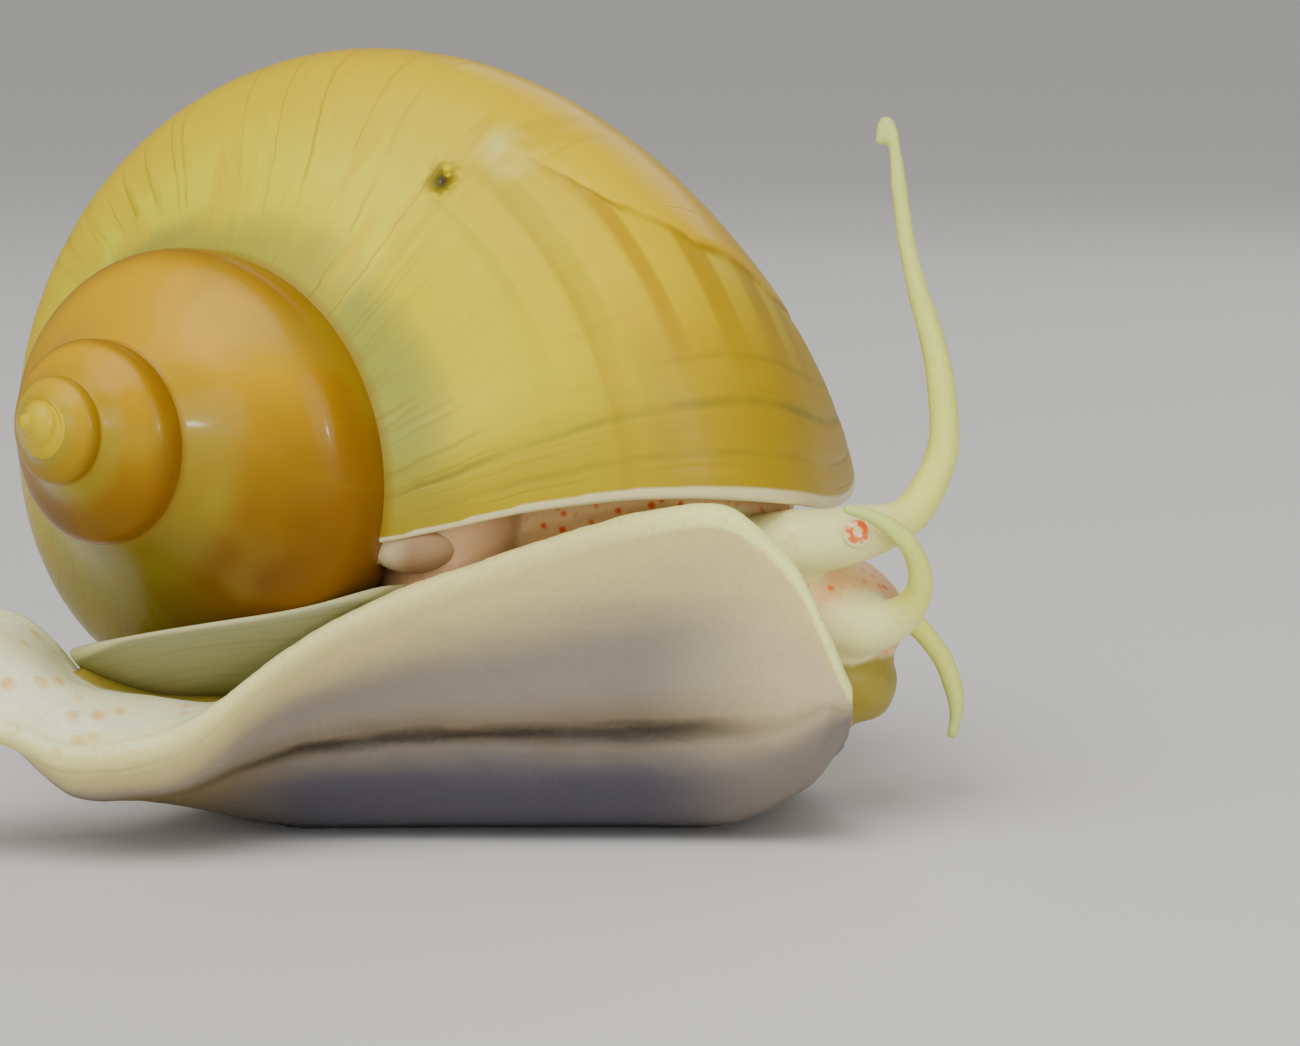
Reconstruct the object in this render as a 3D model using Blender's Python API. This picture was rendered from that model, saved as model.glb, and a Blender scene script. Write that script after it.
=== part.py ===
"""A crawling apple snail, a still model at life size.

The named sizes are in millimetres: x runs towards the snail's head, y to its left side and z up
from the floor. The meshes are built in metres.
"""

import math

import bmesh
import bpy
import numpy as np
from mathutils import Vector

MM = 0.001
GAP = 0.3
SLIVER = 0.002
ORIGIN = (12.94, -4.79, 0.0)

# Shell: a right-handed spiral about an axis through the apex
APEX = (-32.39, -17.84, 23.63)
AXIS_HEADING = math.radians(234.87)
AXIS_TILT = math.radians(5.72)
LIP_ANGLE = math.radians(333.85)
TURNS = 4.05
GROWTH = 0.8778
GROWTH_SLOWING = 0.0762
DESCENT_SLOWING = 0.037
NUCLEUS_TURN = -3.0
NUCLEUS_TAPER = 0.5
LIP_PROFILE = [
    (12.3, 16.3), (17.4, 21.9), (22.8, 25.5), (27.1, 29.4), (27.5, 36.2),
    (24.0, 45.6), (18.6, 55.3), (11.5, 58.3), (2.7, 54.0),
]
GROWTH_LINE_LAG = (-0.4624, 1.1234, -0.8512)
LAG_STRAIGHT_FROM = 0.7
WALL = 1.0
PILLAR = 4.2
AXIS_CLEAR = 0.4
SUTURE_ROOT = (10.9, 14.9)
GIRTH_FITTED = (-0.85, -1.15)
GIRTH_FADE = (-4.4, -3.6)
WIDEST = 4
PROFILE_POINTS = 20
AXIS_DEPTHS = (52.0, 42.0, 32.0, 22.0)
PILLAR_DEPTHS = (44.0, 36.0, 28.0)
PILLAR_TOP = (1.0, 21.0)
MOUTH_SHARES = (0.035, 0.955)
MOUTH_DEPTH = 0.24
MOUTH_OPEN = 0.03
MOUTH_STEPS = 12
MANTLE_STEPS = 11
MANTLE_TURNS = (0.006, -0.004)
CLEARANCE_TURN = 0.05
CLEARANCE_STEPS = 12
LIP_CLEARANCE_STEPS = 14
PIECE_TURN = 0.45
LIP_STEPS, WHORL_STEPS, SPIRE_STEPS = 13, 12, 8
SPIRE_FROM = 3
TUCK = 0.6
TUCK_TURN = 0.03
JOINT_SINK = 0.012
JOINT_TURN = 0.00375
CORE_SIDES = 12
# Core of the spiral: depth below the apex and radius, with the round nucleus on top
CORE = [
    (0.2, 0.12), (0.3, 0.42), (0.55, 0.74), (0.9, 0.92), (1.2, 0.95), (1.8, 1.1), (2.4, 1.5),
    (4.0, 1.0), (41.0, 1.2),
]
# Callus, where the inner lip curls round: its middle and half sizes
CALLUS = (-12.6, -9.9, 16.0)
CALLUS_HALF = (2.3, 1.3, 1.3)

# Operculum: a thin plate between the tail's back and the shell, curved to the last whorl; each
# station is x, then (y, z) at the near edge, the bend, the middle and the far edge
PLATE_STATIONS = [
    (-31.0, (-10.3, 10.5), (-9.6, 10.2), (-8.8, 10.0), (-8.0, 9.9)),
    (-29.5, (-11.9, 11.2), (-10.0, 9.6), (-5.5, 8.1), (-1.5, 7.7)),
    (-26.5, (-12.6, 11.9), (-10.4, 9.0), (-5.0, 7.1), (1.5, 7.2)),
    (-22.5, (-13.0, 12.6), (-10.5, 9.0), (-4.5, 7.0), (3.0, 7.4)),
    (-18.0, (-13.1, 13.4), (-10.8, 9.9), (-4.5, 8.4), (3.5, 8.8)),
    (-14.5, (-12.0, 14.2), (-10.0, 12.0), (-5.0, 11.3), (1.0, 11.6)),
    (-12.8, (-9.4, 13.9), (-8.6, 13.6), (-7.6, 13.4), (-6.6, 13.3)),
]
PLATE_HALF = 0.3
PLATE_NODES = 4
PLATE_POINTS = 10
PLATE_CLEARANCE = 8.0

# Foot: each station is x, then y, z and half thickness at the near rim, the waist of the raised
# flap, the corner where it turns under, the middle of the sole and the far rim
FOOT_STATIONS = [
    (-43.6, -14.1, 9.8, 0.3, -13.9, 10.0, 0.3, -13.6, 10.2, 0.3, -13.3, 10.4, 0.3, -13.1, 10.6, 0.3),
    (-42.4, -15.0, 9.2, 0.6, -14.2, 9.7, 0.9, -13.5, 10.2, 1.0, -12.8, 10.7, 0.9, -12.1, 11.2, 0.5),
    (-38.5, -16.0, 8.0, 0.8, -14.5, 9.0, 1.6, -13.0, 10.1, 1.8, -11.6, 11.0, 1.4, -10.3, 12.0, 0.8),
    (-34.0, -16.5, 7.4, 0.8, -14.3, 8.3, 2.2, -12.4, 9.4, 2.4, -10.8, 10.5, 1.8, -9.3, 11.7, 0.8),
    (-31.0, -17.2, 6.2, 0.8, -14.4, 6.4, 2.8, -11.6, 6.9, 2.7, -9.3, 7.4, 1.9, -6.9, 8.4, 0.8),
    (-28.0, -17.2, 6.1, 0.8, -13.6, 6.0, 2.8, -10.0, 5.1, 2.4, -6.0, 4.6, 1.7, -1.5, 4.6, 0.8),
    (-24.5, -16.8, 6.9, 0.8, -13.0, 5.9, 2.4, -9.0, 3.9, 2.1, -3.5, 3.3, 1.8, 2.5, 3.0, 0.8),
    (-21.4, -15.8, 9.0, 0.7, -12.0, 6.2, 1.6, -8.0, 3.0, 1.9, -1.0, 2.5, 2.1, 5.5, 1.6, 0.8),
    (-18.3, -14.6, 11.2, 0.7, -11.0, 6.6, 1.2, -7.9, 2.7, 1.8, 0.0, 2.2, 2.2, 8.0, 0.8, 0.7),
    (-13.5, -13.4, 13.5, 0.7, -10.2, 6.9, 1.1, -7.9, 2.6, 1.7, 1.0, 2.2, 2.2, 10.5, 0.7, 0.7),
    (-7.0, -12.4, 15.7, 0.7, -10.1, 7.1, 1.1, -8.0, 2.6, 1.7, 1.5, 2.2, 2.2, 11.5, 0.7, 0.7),
    (-2.6, -12.4, 17.1, 0.7, -10.2, 7.3, 1.1, -8.0, 2.6, 1.7, 1.5, 2.2, 2.2, 11.7, 0.7, 0.7),
    (2.6, -12.4, 18.1, 0.7, -10.3, 7.5, 1.1, -8.1, 2.6, 1.7, 1.5, 2.1, 2.1, 11.5, 0.8, 0.7),
    (5.2, -12.4, 17.3, 0.7, -10.6, 7.7, 1.1, -8.4, 2.9, 1.7, 1.2, 2.4, 1.9, 10.8, 1.1, 0.7),
    (7.5, -12.4, 15.1, 0.7, -11.3, 8.0, 1.1, -9.2, 4.0, 1.5, 0.5, 3.0, 1.5, 9.5, 1.9, 0.7),
    (9.1, -12.4, 12.1, 0.7, -11.8, 8.4, 1.0, -10.0, 5.2, 1.3, 0.0, 3.5, 1.1, 8.0, 2.7, 0.6),
    (10.2, -12.2, 9.6, 0.6, -11.8, 8.3, 0.8, -9.2, 6.3, 0.8, -0.5, 3.9, 0.8, 6.5, 3.3, 0.5),
    (10.8, -12.0, 8.6, 0.3, -11.5, 7.9, 0.4, -9.2, 6.6, 0.4, -0.5, 4.1, 0.4, 5.5, 3.5, 0.3),
]
FOOT_RINGS_PER_STATION = 2
FOOT_RINGS = FOOT_RINGS_PER_STATION * (len(FOOT_STATIONS) - 1)
TAIL_RINGS, REAR_RINGS, MIDDLE_RINGS = 9, 17, 23
FOOT_LENGTHS = [
    ("tail", 0, TAIL_RINGS), ("foot_rear", TAIL_RINGS, REAR_RINGS),
    ("foot_middle", REAR_RINGS, MIDDLE_RINGS), ("foot_front", MIDDLE_RINGS, FOOT_RINGS),
]
FOOT_NODES = 5
SPINE_POINTS = 17
LEAST_HALF = 0.25
SOLE_FLAT = 0.25
RIM_ANGLES = (45.0, 90.0, 135.0)

# Columns of flesh: each station is x, y, z, half length in x or half height, half width in y
NECK = [
    (-3.0, -0.8, 3.2, 10.0, 5.4), (-3.0, -1.0, 6.0, 9.4, 5.2), (-2.8, -1.0, 10.0, 9.2, 5.6),
    (-2.8, 0.5, 14.0, 9.9, 7.4), (-2.2, 2.4, 17.5, 10.4, 9.6), (-1.8, 3.2, 21.0, 10.4, 10.6),
]
HEAD = [
    (-3.0, -1.0, 12.0, 3.4, 4.6), (1.0, -1.4, 12.9, 4.2, 5.6), (5.0, -2.0, 13.4, 4.0, 5.6),
    (8.0, -2.3, 13.3, 3.3, 4.9), (9.4, -2.4, 13.1, 2.2, 3.6), (9.9, -2.4, 13.0, 0.9, 1.6),
]
SNOUT = [
    (4.5, -2.2, 11.8, 2.8, 4.4), (8.0, -2.2, 11.9, 3.2, 4.9), (10.6, -2.1, 11.8, 3.1, 4.9),
    (12.6, -2.0, 11.4, 2.4, 4.2), (13.7, -2.0, 11.1, 1.4, 2.8), (14.0, -2.0, 11.0, 0.5, 1.2),
]
LIPS = [
    (7.4, -2.0, 8.6, 2.2, 3.2), (9.4, -2.0, 8.4, 2.9, 3.9), (11.6, -2.0, 8.2, 2.8, 3.8),
    (13.0, -2.0, 8.0, 2.0, 2.8), (13.6, -2.0, 7.9, 0.8, 1.2),
]
MOUTH_SLIT = [(12.2, -2.0, 7.6, 4.0, 0.1), (14.4, -2.0, 7.6, 4.0, 0.5)]
COLUMN_SIDES = 22
COLUMN_STEPS = 3

# Feelers: each station is x, y, z and radius
STALK_RIGHT = [
    (3.0, -4.4, 14.4, 2.2), (7.0, -6.3, 15.6, 2.0), (9.2, -6.9, 16.1, 1.75), (11.5, -7.3, 16.6, 1.5),
    (13.0, -7.0, 17.0, 1.2),
]
TENTACLE_RIGHT = [
    (13.0, -7.0, 17.0, 1.15), (14.4, -6.5, 17.9, 1.02), (15.6, -6.0, 20.1, 0.9), (15.9, -6.0, 22.5, 0.8),
    (15.3, -6.0, 26.6, 0.68), (14.0, -6.0, 31.2, 0.5), (13.3, -6.0, 35.8, 0.37), (12.9, -6.0, 38.3, 0.3),
    (12.5, -6.0, 38.5, 0.27), (12.3, -6.0, 37.4, 0.25),
]
STALK_LEFT = [
    (3.0, 2.0, 14.0, 1.9), (5.6, 6.0, 14.4, 1.75), (6.8, 9.0, 14.3, 1.6), (7.2, 11.4, 14.2, 1.45),
    (7.2, 13.0, 14.2, 1.2),
]
TENTACLE_LEFT = [
    (7.2, 13.0, 14.2, 1.15), (6.6, 16.0, 14.1, 1.05), (4.6, 20.5, 14.9, 0.97), (0.6, 24.2, 17.0, 0.88),
    (-3.8, 26.3, 20.5, 0.78), (-6.8, 27.0, 25.0, 0.63), (-8.3, 26.6, 29.5, 0.47), (-7.9, 25.8, 33.0, 0.33),
    (-6.8, 25.2, 34.2, 0.25),
]
PALP_RIGHT = [
    (9.4, -5.0, 11.3, 1.9), (11.5, -6.0, 11.3, 1.75), (13.2, -6.8, 11.8, 1.2), (14.3, -7.8, 13.0, 0.82),
    (14.5, -8.7, 14.4, 0.7), (14.0, -9.6, 15.9, 0.59), (13.0, -10.2, 17.1, 0.48), (11.7, -10.6, 17.9, 0.37),
    (10.3, -10.8, 18.3, 0.26),
]
PALP_LEFT = [
    (9.4, 0.8, 11.8, 1.7), (11.5, 2.0, 12.1, 1.3), (13.6, 2.6, 11.3, 0.85), (15.3, 3.0, 9.7, 0.64),
    (16.4, 3.2, 8.3, 0.58), (17.1, 3.2, 6.6, 0.52), (17.3, 3.0, 5.0, 0.4), (17.0, 2.8, 3.6, 0.27),
]
SIPHON = [
    (-3.0, 5.0, 13.4, 2.6), (-2.6, 9.0, 12.9, 2.3), (-1.8, 12.4, 12.5, 2.1), (-1.0, 15.4, 12.8, 2.3),
]
SIPHON_BORE = [(-1.9, 12.0, 12.5, 1.2), (-1.0, 15.4, 12.8, 1.5), (-0.8, 16.8, 13.0, 1.7)]
LOBE_STATIONS = [(-22.0, -4.0, 2.5, 5.4, 3.6), (-22.0, -4.6, 9.5, 5.6, 4.4)]
STALK_SIDES, FEELER_SIDES, SIPHON_SIDES, BORE_SIDES = 14, 10, 16, 12
STALK_SHORT = 0.15
TENTACLE_BREAKS = (3.0, 5.0)
PALP_BREAKS = (3.5,)
TUBE_STEPS = 3
TIP_PLACES = (0.1, 0.03)
TIP_TAPER = 0.45
BALL_SIDES, BALL_RINGS = 14, 8
EYE_RADIUS = 0.75
EYE_RIGHT = (11.1, -8.45, 17.05)
EYE_LEFT = (8.1, 12.2, 15.2)

SHARP_EDGE = math.radians(40.0)

FINISHES = {
    "nacre yellow": ((0.78, 0.55, 0.12, 1.0), 0.32),
    "horn": ((0.50, 0.50, 0.34, 1.0), 0.45),
    "pale flesh": ((0.80, 0.70, 0.62, 1.0), 0.42),
    "cream flesh": ((0.84, 0.80, 0.60, 1.0), 0.40),
    "orange eye": ((0.85, 0.26, 0.10, 1.0), 0.15),
}


def clear_scene():
    for item in list(bpy.data.objects):
        bpy.data.objects.remove(item, do_unlink=True)


def finish(name):
    """Principled material of one named finish, made once."""
    if name in bpy.data.materials:
        return bpy.data.materials[name]
    colour, roughness = FINISHES[name]
    material = bpy.data.materials.new(name)
    material.use_nodes = True
    shader = material.node_tree.nodes["Principled BSDF"]
    shader.inputs["Base Color"].default_value = colour
    shader.inputs["Roughness"].default_value = roughness
    shader.inputs["Metallic"].default_value = 0.0
    return material


def smooth_through(points, places):
    """Natural cubic curve through points, whose own places are 0, 1, 2 and so on."""
    points = np.asarray(points, float)
    count = len(points)
    matrix = np.eye(count)
    target = np.zeros_like(points)
    for i in range(1, count - 1):
        matrix[i, i - 1 : i + 2] = (1.0, 4.0, 1.0)
        target[i] = 6.0 * (points[i - 1] - 2.0 * points[i] + points[i + 1])
    bend = np.linalg.solve(matrix, target)
    places = np.asarray(places, float)
    low = np.clip(places.astype(int), 0, count - 2)
    after = (places - low)[:, None]
    before = 1.0 - after
    straight = before * points[low] + after * points[low + 1]
    curved = ((before**3 - before) * bend[low] + (after**3 - after) * bend[low + 1]) / 6.0
    return straight + curved


def mesh_object(name, vertices, faces, finish_name):
    """Closed mesh from points in millimetres, with its faces turned outwards."""
    mesh = bpy.data.meshes.new(name)
    mesh.from_pydata([tuple(float(c) * MM for c in v) for v in vertices], [], faces)
    shape = bmesh.new()
    shape.from_mesh(mesh)
    bmesh.ops.recalc_face_normals(shape, faces=shape.faces)
    shape.to_mesh(mesh)
    shape.free()
    mesh.materials.append(finish(finish_name))
    piece = bpy.data.objects.new(name, mesh)
    bpy.context.scene.collection.objects.link(piece)
    return piece


def loft(name, rings, finish_name, fan=False):
    """Skin over closed rings of equal length, capped by one face or by a fan about the middle."""
    size = len(rings[0])
    vertices = [point for ring in rings for point in ring]
    faces = []
    for i in range(len(rings) - 1):
        for j in range(size):
            k = (j + 1) % size
            faces.append((i * size + j, i * size + k, (i + 1) * size + k, (i + 1) * size + j))
    for start, ring in ((0, rings[0]), ((len(rings) - 1) * size, rings[-1])):
        if fan:
            vertices.append(np.mean(np.asarray(ring), axis=0))
            faces += [(start + j, start + (j + 1) % size, len(vertices) - 1) for j in range(size)]
        else:
            faces.append(tuple(start + j for j in range(size)))
    return mesh_object(name, vertices, faces, finish_name)


def drop(piece):
    mesh = piece.data
    bpy.data.objects.remove(piece, do_unlink=True)
    bpy.data.meshes.remove(mesh)


def keep_largest(piece):
    """Keeps the largest closed surface of the mesh, in triangles, and drops what a cut left loose."""
    shape = bmesh.new()
    shape.from_mesh(piece.data)
    bmesh.ops.triangulate(shape, faces=shape.faces)
    bmesh.ops.dissolve_degenerate(shape, edges=shape.edges, dist=SLIVER * MM)
    bmesh.ops.triangulate(shape, faces=shape.faces)
    seen = set()
    islands = []
    for start in shape.faces:
        if start in seen:
            continue
        island = [start]
        seen.add(start)
        for face in island:
            for edge in face.edges:
                for other in edge.link_faces:
                    if other not in seen:
                        seen.add(other)
                        island.append(other)
        islands.append(island)
    islands.sort(key=len)
    loose = [face for island in islands[:-1] for face in island]
    bmesh.ops.delete(shape, geom=loose, context="FACES")
    wires = [edge for edge in shape.edges if not edge.link_faces]
    bmesh.ops.delete(shape, geom=wires, context="EDGES")
    shape.to_mesh(piece.data)
    shape.free()


def apply_modifiers(piece):
    graph = bpy.context.evaluated_depsgraph_get()
    mesh = bpy.data.meshes.new_from_object(piece.evaluated_get(graph))
    old = piece.data
    piece.modifiers.clear()
    piece.data = mesh
    bpy.data.meshes.remove(old)


def combine(piece, others, operation):
    """Boolean of a piece with a collection of closed pieces, which are then removed.

    The exact solver empties these pieces where curved skins graze, so the manifold one is used.
    """
    group = bpy.data.collections.new("operands")
    bpy.context.scene.collection.children.link(group)
    for other in others:
        group.objects.link(other)
    modifier = piece.modifiers.new("combine", "BOOLEAN")
    modifier.operation = operation
    modifier.operand_type = "COLLECTION"
    modifier.collection = group
    modifier.solver = "MANIFOLD"
    apply_modifiers(piece)
    for other in others:
        drop(other)
    bpy.data.collections.remove(group)
    keep_largest(piece)
    return piece


def cut(piece, *cutters):
    for cutter in cutters:
        combine(piece, [cutter], "DIFFERENCE")
    return piece


def ball(name, centre, radius, finish_name):
    """A round piece about its centre."""
    shape = bmesh.new()
    bmesh.ops.create_uvsphere(shape, u_segments=BALL_SIDES, v_segments=BALL_RINGS, radius=radius * MM)
    mesh = bpy.data.meshes.new(name)
    shape.to_mesh(mesh)
    shape.free()
    mesh.materials.append(finish(finish_name))
    piece = bpy.data.objects.new(name, mesh)
    piece.location = Vector(centre) * MM
    bpy.context.scene.collection.objects.link(piece)
    bpy.context.view_layer.update()
    return piece


# Shell
def smooth_step(low, high, value):
    """Rises from 0 at low to 1 at high, without a corner."""
    share = np.clip((value - low) / (high - low), 0.0, 1.0)
    return share * share * (3.0 - 2.0 * share)


def growth(turn):
    """Size of the whorl against its size at the lip; turn is 0 at the lip and falls inwards."""
    inner = np.minimum(turn - NUCLEUS_TURN, 0.0)
    outer = np.maximum(turn, NUCLEUS_TURN)
    rate = GROWTH + 2.0 * GROWTH_SLOWING * NUCLEUS_TURN
    return np.exp(GROWTH * outer + GROWTH_SLOWING * outer**2 + rate * inner - NUCLEUS_TAPER * inner**2)


def descent(turn):
    return np.exp(GROWTH * turn + DESCENT_SLOWING * turn**2)


def girth(turn):
    """Scale of the whorl's section beyond its suture; the next suture meets its widest line."""
    size = growth(turn)
    root, widest = LIP_PROFILE[0][0], LIP_PROFILE[WIDEST][0]
    fitted = root * (growth(turn + 1.0) - size) / (widest - root)
    size = size + (fitted - size) * smooth_step(*GIRTH_FITTED, turn)
    return size * smooth_step(*GIRTH_FADE, turn)


def profile(count, offset, start=0.0, end=1.0):
    """Radius, depth and share along the lip's profile, moved outwards by offset."""
    knots = np.asarray(LIP_PROFILE, float)
    lengths = np.concatenate([[0.0], np.cumsum(np.linalg.norm(np.diff(knots, axis=0), axis=1))])
    dense_places = np.linspace(0, len(knots) - 1, 241)
    dense = smooth_through(knots, dense_places)
    share = np.interp(dense_places, np.arange(len(knots)), lengths / lengths[-1])
    tangent = np.gradient(dense, axis=0)
    tangent /= np.linalg.norm(tangent, axis=1)[:, None]
    moved = dense + offset * np.stack([tangent[:, 1], -tangent[:, 0]], axis=1)
    wanted = np.linspace(start, end, count)
    radius = np.interp(wanted, share, moved[:, 0])
    depth = np.interp(wanted, share, moved[:, 1])
    return np.stack([radius, depth, wanted], axis=1)


def closed_outline(outer, inner_points):
    """Profile closed through inner points, whose share falls evenly from the base to the suture."""
    count = len(inner_points)
    shares = np.linspace(outer[-1, 2], outer[0, 2], count + 2)[1:-1]
    inner = np.column_stack([np.asarray(inner_points, float), shares])
    return np.vstack([outer, inner])


def solid_outline(grow):
    """Outline of the whole whorl, down to the axis."""
    inner = [(AXIS_CLEAR, depth) for depth in AXIS_DEPTHS]
    return closed_outline(profile(PROFILE_POINTS, grow), inner + [SUTURE_ROOT])


def mouth_outline(inset):
    """Outline of the space inside the last whorl, beside the pillar."""
    pillar = PILLAR + inset
    outer = profile(PROFILE_POINTS, -WALL - inset, *MOUTH_SHARES)
    inner = [(pillar, depth) for depth in PILLAR_DEPTHS]
    return closed_outline(outer, inner + [(pillar + PILLAR_TOP[0], PILLAR_TOP[1])])


def spiral_ring(outline, turn):
    """The outline at one turn of the spiral, in the shell's own frame, apex at the origin."""
    radius, depth, share = outline.T
    first, second, third = GROWTH_LINE_LAG
    bent = np.minimum(share, LAG_STRAIGHT_FROM)
    slope = first + 2.0 * second * LAG_STRAIGHT_FROM + 3.0 * third * LAG_STRAIGHT_FROM**2
    lag = first * bent + second * bent**2 + third * bent**3 + slope * (share - bent)
    lagged = turn + lag
    size, section = growth(lagged), girth(lagged)
    angle = LIP_ANGLE - 2.0 * math.pi * lagged
    root, suture = LIP_PROFILE[0]
    reach = np.minimum(radius, root) * size + np.maximum(radius - root, 0.0) * section
    height = -(suture * descent(lagged) + (depth - suture) * section)
    return np.stack([reach * np.cos(angle), reach * np.sin(angle), height], axis=1)


def place_shell_rings(name, rings, finish_name):
    piece = loft(name, rings, finish_name, fan=True)
    piece.location = Vector(APEX) * MM
    piece.rotation_euler = (math.pi / 2.0 - AXIS_TILT, 0.0, AXIS_HEADING + math.pi / 2.0)
    bpy.context.view_layer.update()
    return piece


def spiral_piece(name, outline, first, last, steps, finish_name):
    rings = [spiral_ring(outline, turn) for turn in np.linspace(first, last, steps + 1)]
    return place_shell_rings(name, rings, finish_name)


def whorl_length(index, steps):
    """One length of whorl, its ends tucked inside its neighbours so that no faces coincide."""
    first = -PIECE_TURN * (index + 1)
    last = -PIECE_TURN * index
    outline = solid_outline(0.0)
    rings = [spiral_ring(solid_outline(-TUCK), first - TUCK_TURN)]
    rings += [spiral_ring(outline, turn) for turn in np.linspace(first, last, steps + 1)]
    if index > 0:
        rings[-1] = spiral_ring(solid_outline(-JOINT_SINK), last + JOINT_TURN)
    return place_shell_rings(f"whorl_{index}", rings, "nacre yellow")


def build_shell():
    """Whorl lengths joined into one shell, with the mouth hollowed before the inner whorls join."""
    shell = whorl_length(0, LIP_STEPS)
    shell.name = "shell"
    mouth = mouth_outline(0.0)
    cut(shell, spiral_piece("hollow", mouth, -MOUTH_DEPTH, MOUTH_OPEN, MOUTH_STEPS, "nacre yellow"))
    count = round(TURNS / PIECE_TURN)
    inner = [whorl_length(i, WHORL_STEPS if i < SPIRE_FROM else SPIRE_STEPS) for i in range(1, count)]
    turns = np.linspace(0.0, 2.0 * math.pi, CORE_SIDES, endpoint=False)
    core = [[(radius * math.cos(a), radius * math.sin(a), -depth) for a in turns] for depth, radius in CORE]
    inner.append(place_shell_rings("core", core, "nacre yellow"))
    callus = ball("callus", CALLUS, 1.0, "nacre yellow")
    callus.scale = CALLUS_HALF
    bpy.context.view_layer.update()
    inner.append(callus)
    return combine(shell, inner, "UNION")


def build_mantle():
    """Flesh that fills the shell's mouth up to the lip, with a socket for the neck."""
    back, front = MANTLE_TURNS
    mantle = spiral_piece("mantle", mouth_outline(GAP), back - MOUTH_DEPTH, front, MANTLE_STEPS, "pale flesh")
    for i in (1, 2, 3):
        first = CLEARANCE_TURN - PIECE_TURN * (i + 1)
        last = first + PIECE_TURN
        cut(mantle, spiral_piece("cutter", solid_outline(GAP), first, last, CLEARANCE_STEPS, "pale flesh"))
    cut(mantle, callus_clearance())
    return cut(mantle, grown(NECK, True))


def callus_clearance():
    """The callus grown by the gap, to cut flesh clear of it."""
    clearance = ball("cutter", CALLUS, 1.0, "pale flesh")
    clearance.scale = [half + GAP for half in CALLUS_HALF]
    bpy.context.view_layer.update()
    return clearance


def shell_clearance(open_mouth=False):
    """The last whorl grown by the gap, to cut flesh clear of it."""
    outline, end = solid_outline(GAP), -MANTLE_TURNS[1]
    clearance = spiral_piece("clearance", outline, -PIECE_TURN, end, LIP_CLEARANCE_STEPS, "pale flesh")
    if open_mouth:
        mouth = mouth_outline(GAP)
        cut(clearance, spiral_piece("cutter", mouth, -MOUTH_DEPTH, MOUTH_OPEN, MOUTH_STEPS, "pale flesh"))
    return clearance


# Operculum
def curved_plate(name, below, above, lift, finish_name):
    """Plate through its stations: below and above are along its normal, lift is straight up."""
    table = [[station[0]] + [value for node in station[1:] for value in node] for station in PLATE_STATIONS]
    places = np.linspace(0.0, len(table) - 1, 2 * len(table) - 1)
    rings = []
    for values in smooth_through(table, places):
        nodes = values[1:].reshape(PLATE_NODES, 2)
        line = smooth_through(nodes, np.linspace(0.0, PLATE_NODES - 1.0, PLATE_POINTS))
        tangent = np.gradient(line, axis=0)
        tangent /= np.linalg.norm(tangent, axis=1)[:, None]
        normal = np.stack([-tangent[:, 1], tangent[:, 0]], axis=1)
        lower = line - normal * below
        upper = line + normal * above + (0.0, lift)
        rings.append([(values[0], y, z) for y, z in list(lower) + list(upper[::-1])])
    return loft(name, rings, finish_name)


def build_operculum():
    """The plate, and the pad of flesh that carries it on the tail's back."""
    curved_plate("operculum", PLATE_HALF, PLATE_HALF, 0.0, "horn")
    lobe = column("operculum_lobe", LOBE_STATIONS, True, 0.0, "pale flesh")
    cut(lobe, curved_plate("cutter", PLATE_HALF + GAP, 0.0, PLATE_CLEARANCE, "horn"))
    cut(lobe, build_foot_length("cutter", TAIL_RINGS, FOOT_RINGS, GAP))


# Foot
def foot_outline(place, grow):
    """Closed outline of the foot at one place along its stations."""
    values = smooth_through(FOOT_STATIONS, [place])[0]
    x = values[0]
    nodes = values[1:].reshape(FOOT_NODES, 3)
    spine = smooth_through(nodes, np.linspace(0.0, FOOT_NODES - 1.0, SPINE_POINTS))
    tangent = np.gradient(spine[:, :2], axis=0)
    tangent /= np.linalg.norm(tangent, axis=1)[:, None]
    normal = np.stack([tangent[:, 1], -tangent[:, 0]], axis=1)
    thick = np.maximum(spine[:, 2], LEAST_HALF)[:, None] + grow
    outer = spine[:, :2] - normal * thick
    inner = spine[:, :2] + normal * thick
    points = list(outer)
    for turn in RIM_ANGLES:
        points.append(rounded_end(spine[-1], normal[-1], tangent[-1], thick[-1, 0], turn))
    points += list(inner[::-1])
    for turn in RIM_ANGLES:
        points.append(rounded_end(spine[0], -normal[0], -tangent[0], thick[0, 0], turn))
    rest = -grow
    return [(x, y, rest if z < SOLE_FLAT - grow else z) for y, z in points]


def rounded_end(node, side, ahead, radius, degrees):
    turn = math.radians(degrees)
    return node[:2] - side * radius * math.cos(turn) + ahead * radius * math.sin(turn)


def build_foot_length(name, first, last, grow=0.0):
    """One length of the foot between two of its rings."""
    rings = [np.array(foot_outline(ring / FOOT_RINGS_PER_STATION, grow)) for ring in range(first, last + 1)]
    if first > 0:
        rings[0][:, 0] += GAP / 2.0
    if last < FOOT_RINGS:
        rings[-1][:, 0] -= GAP / 2.0
    return loft(name, rings, "pale flesh")


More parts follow.
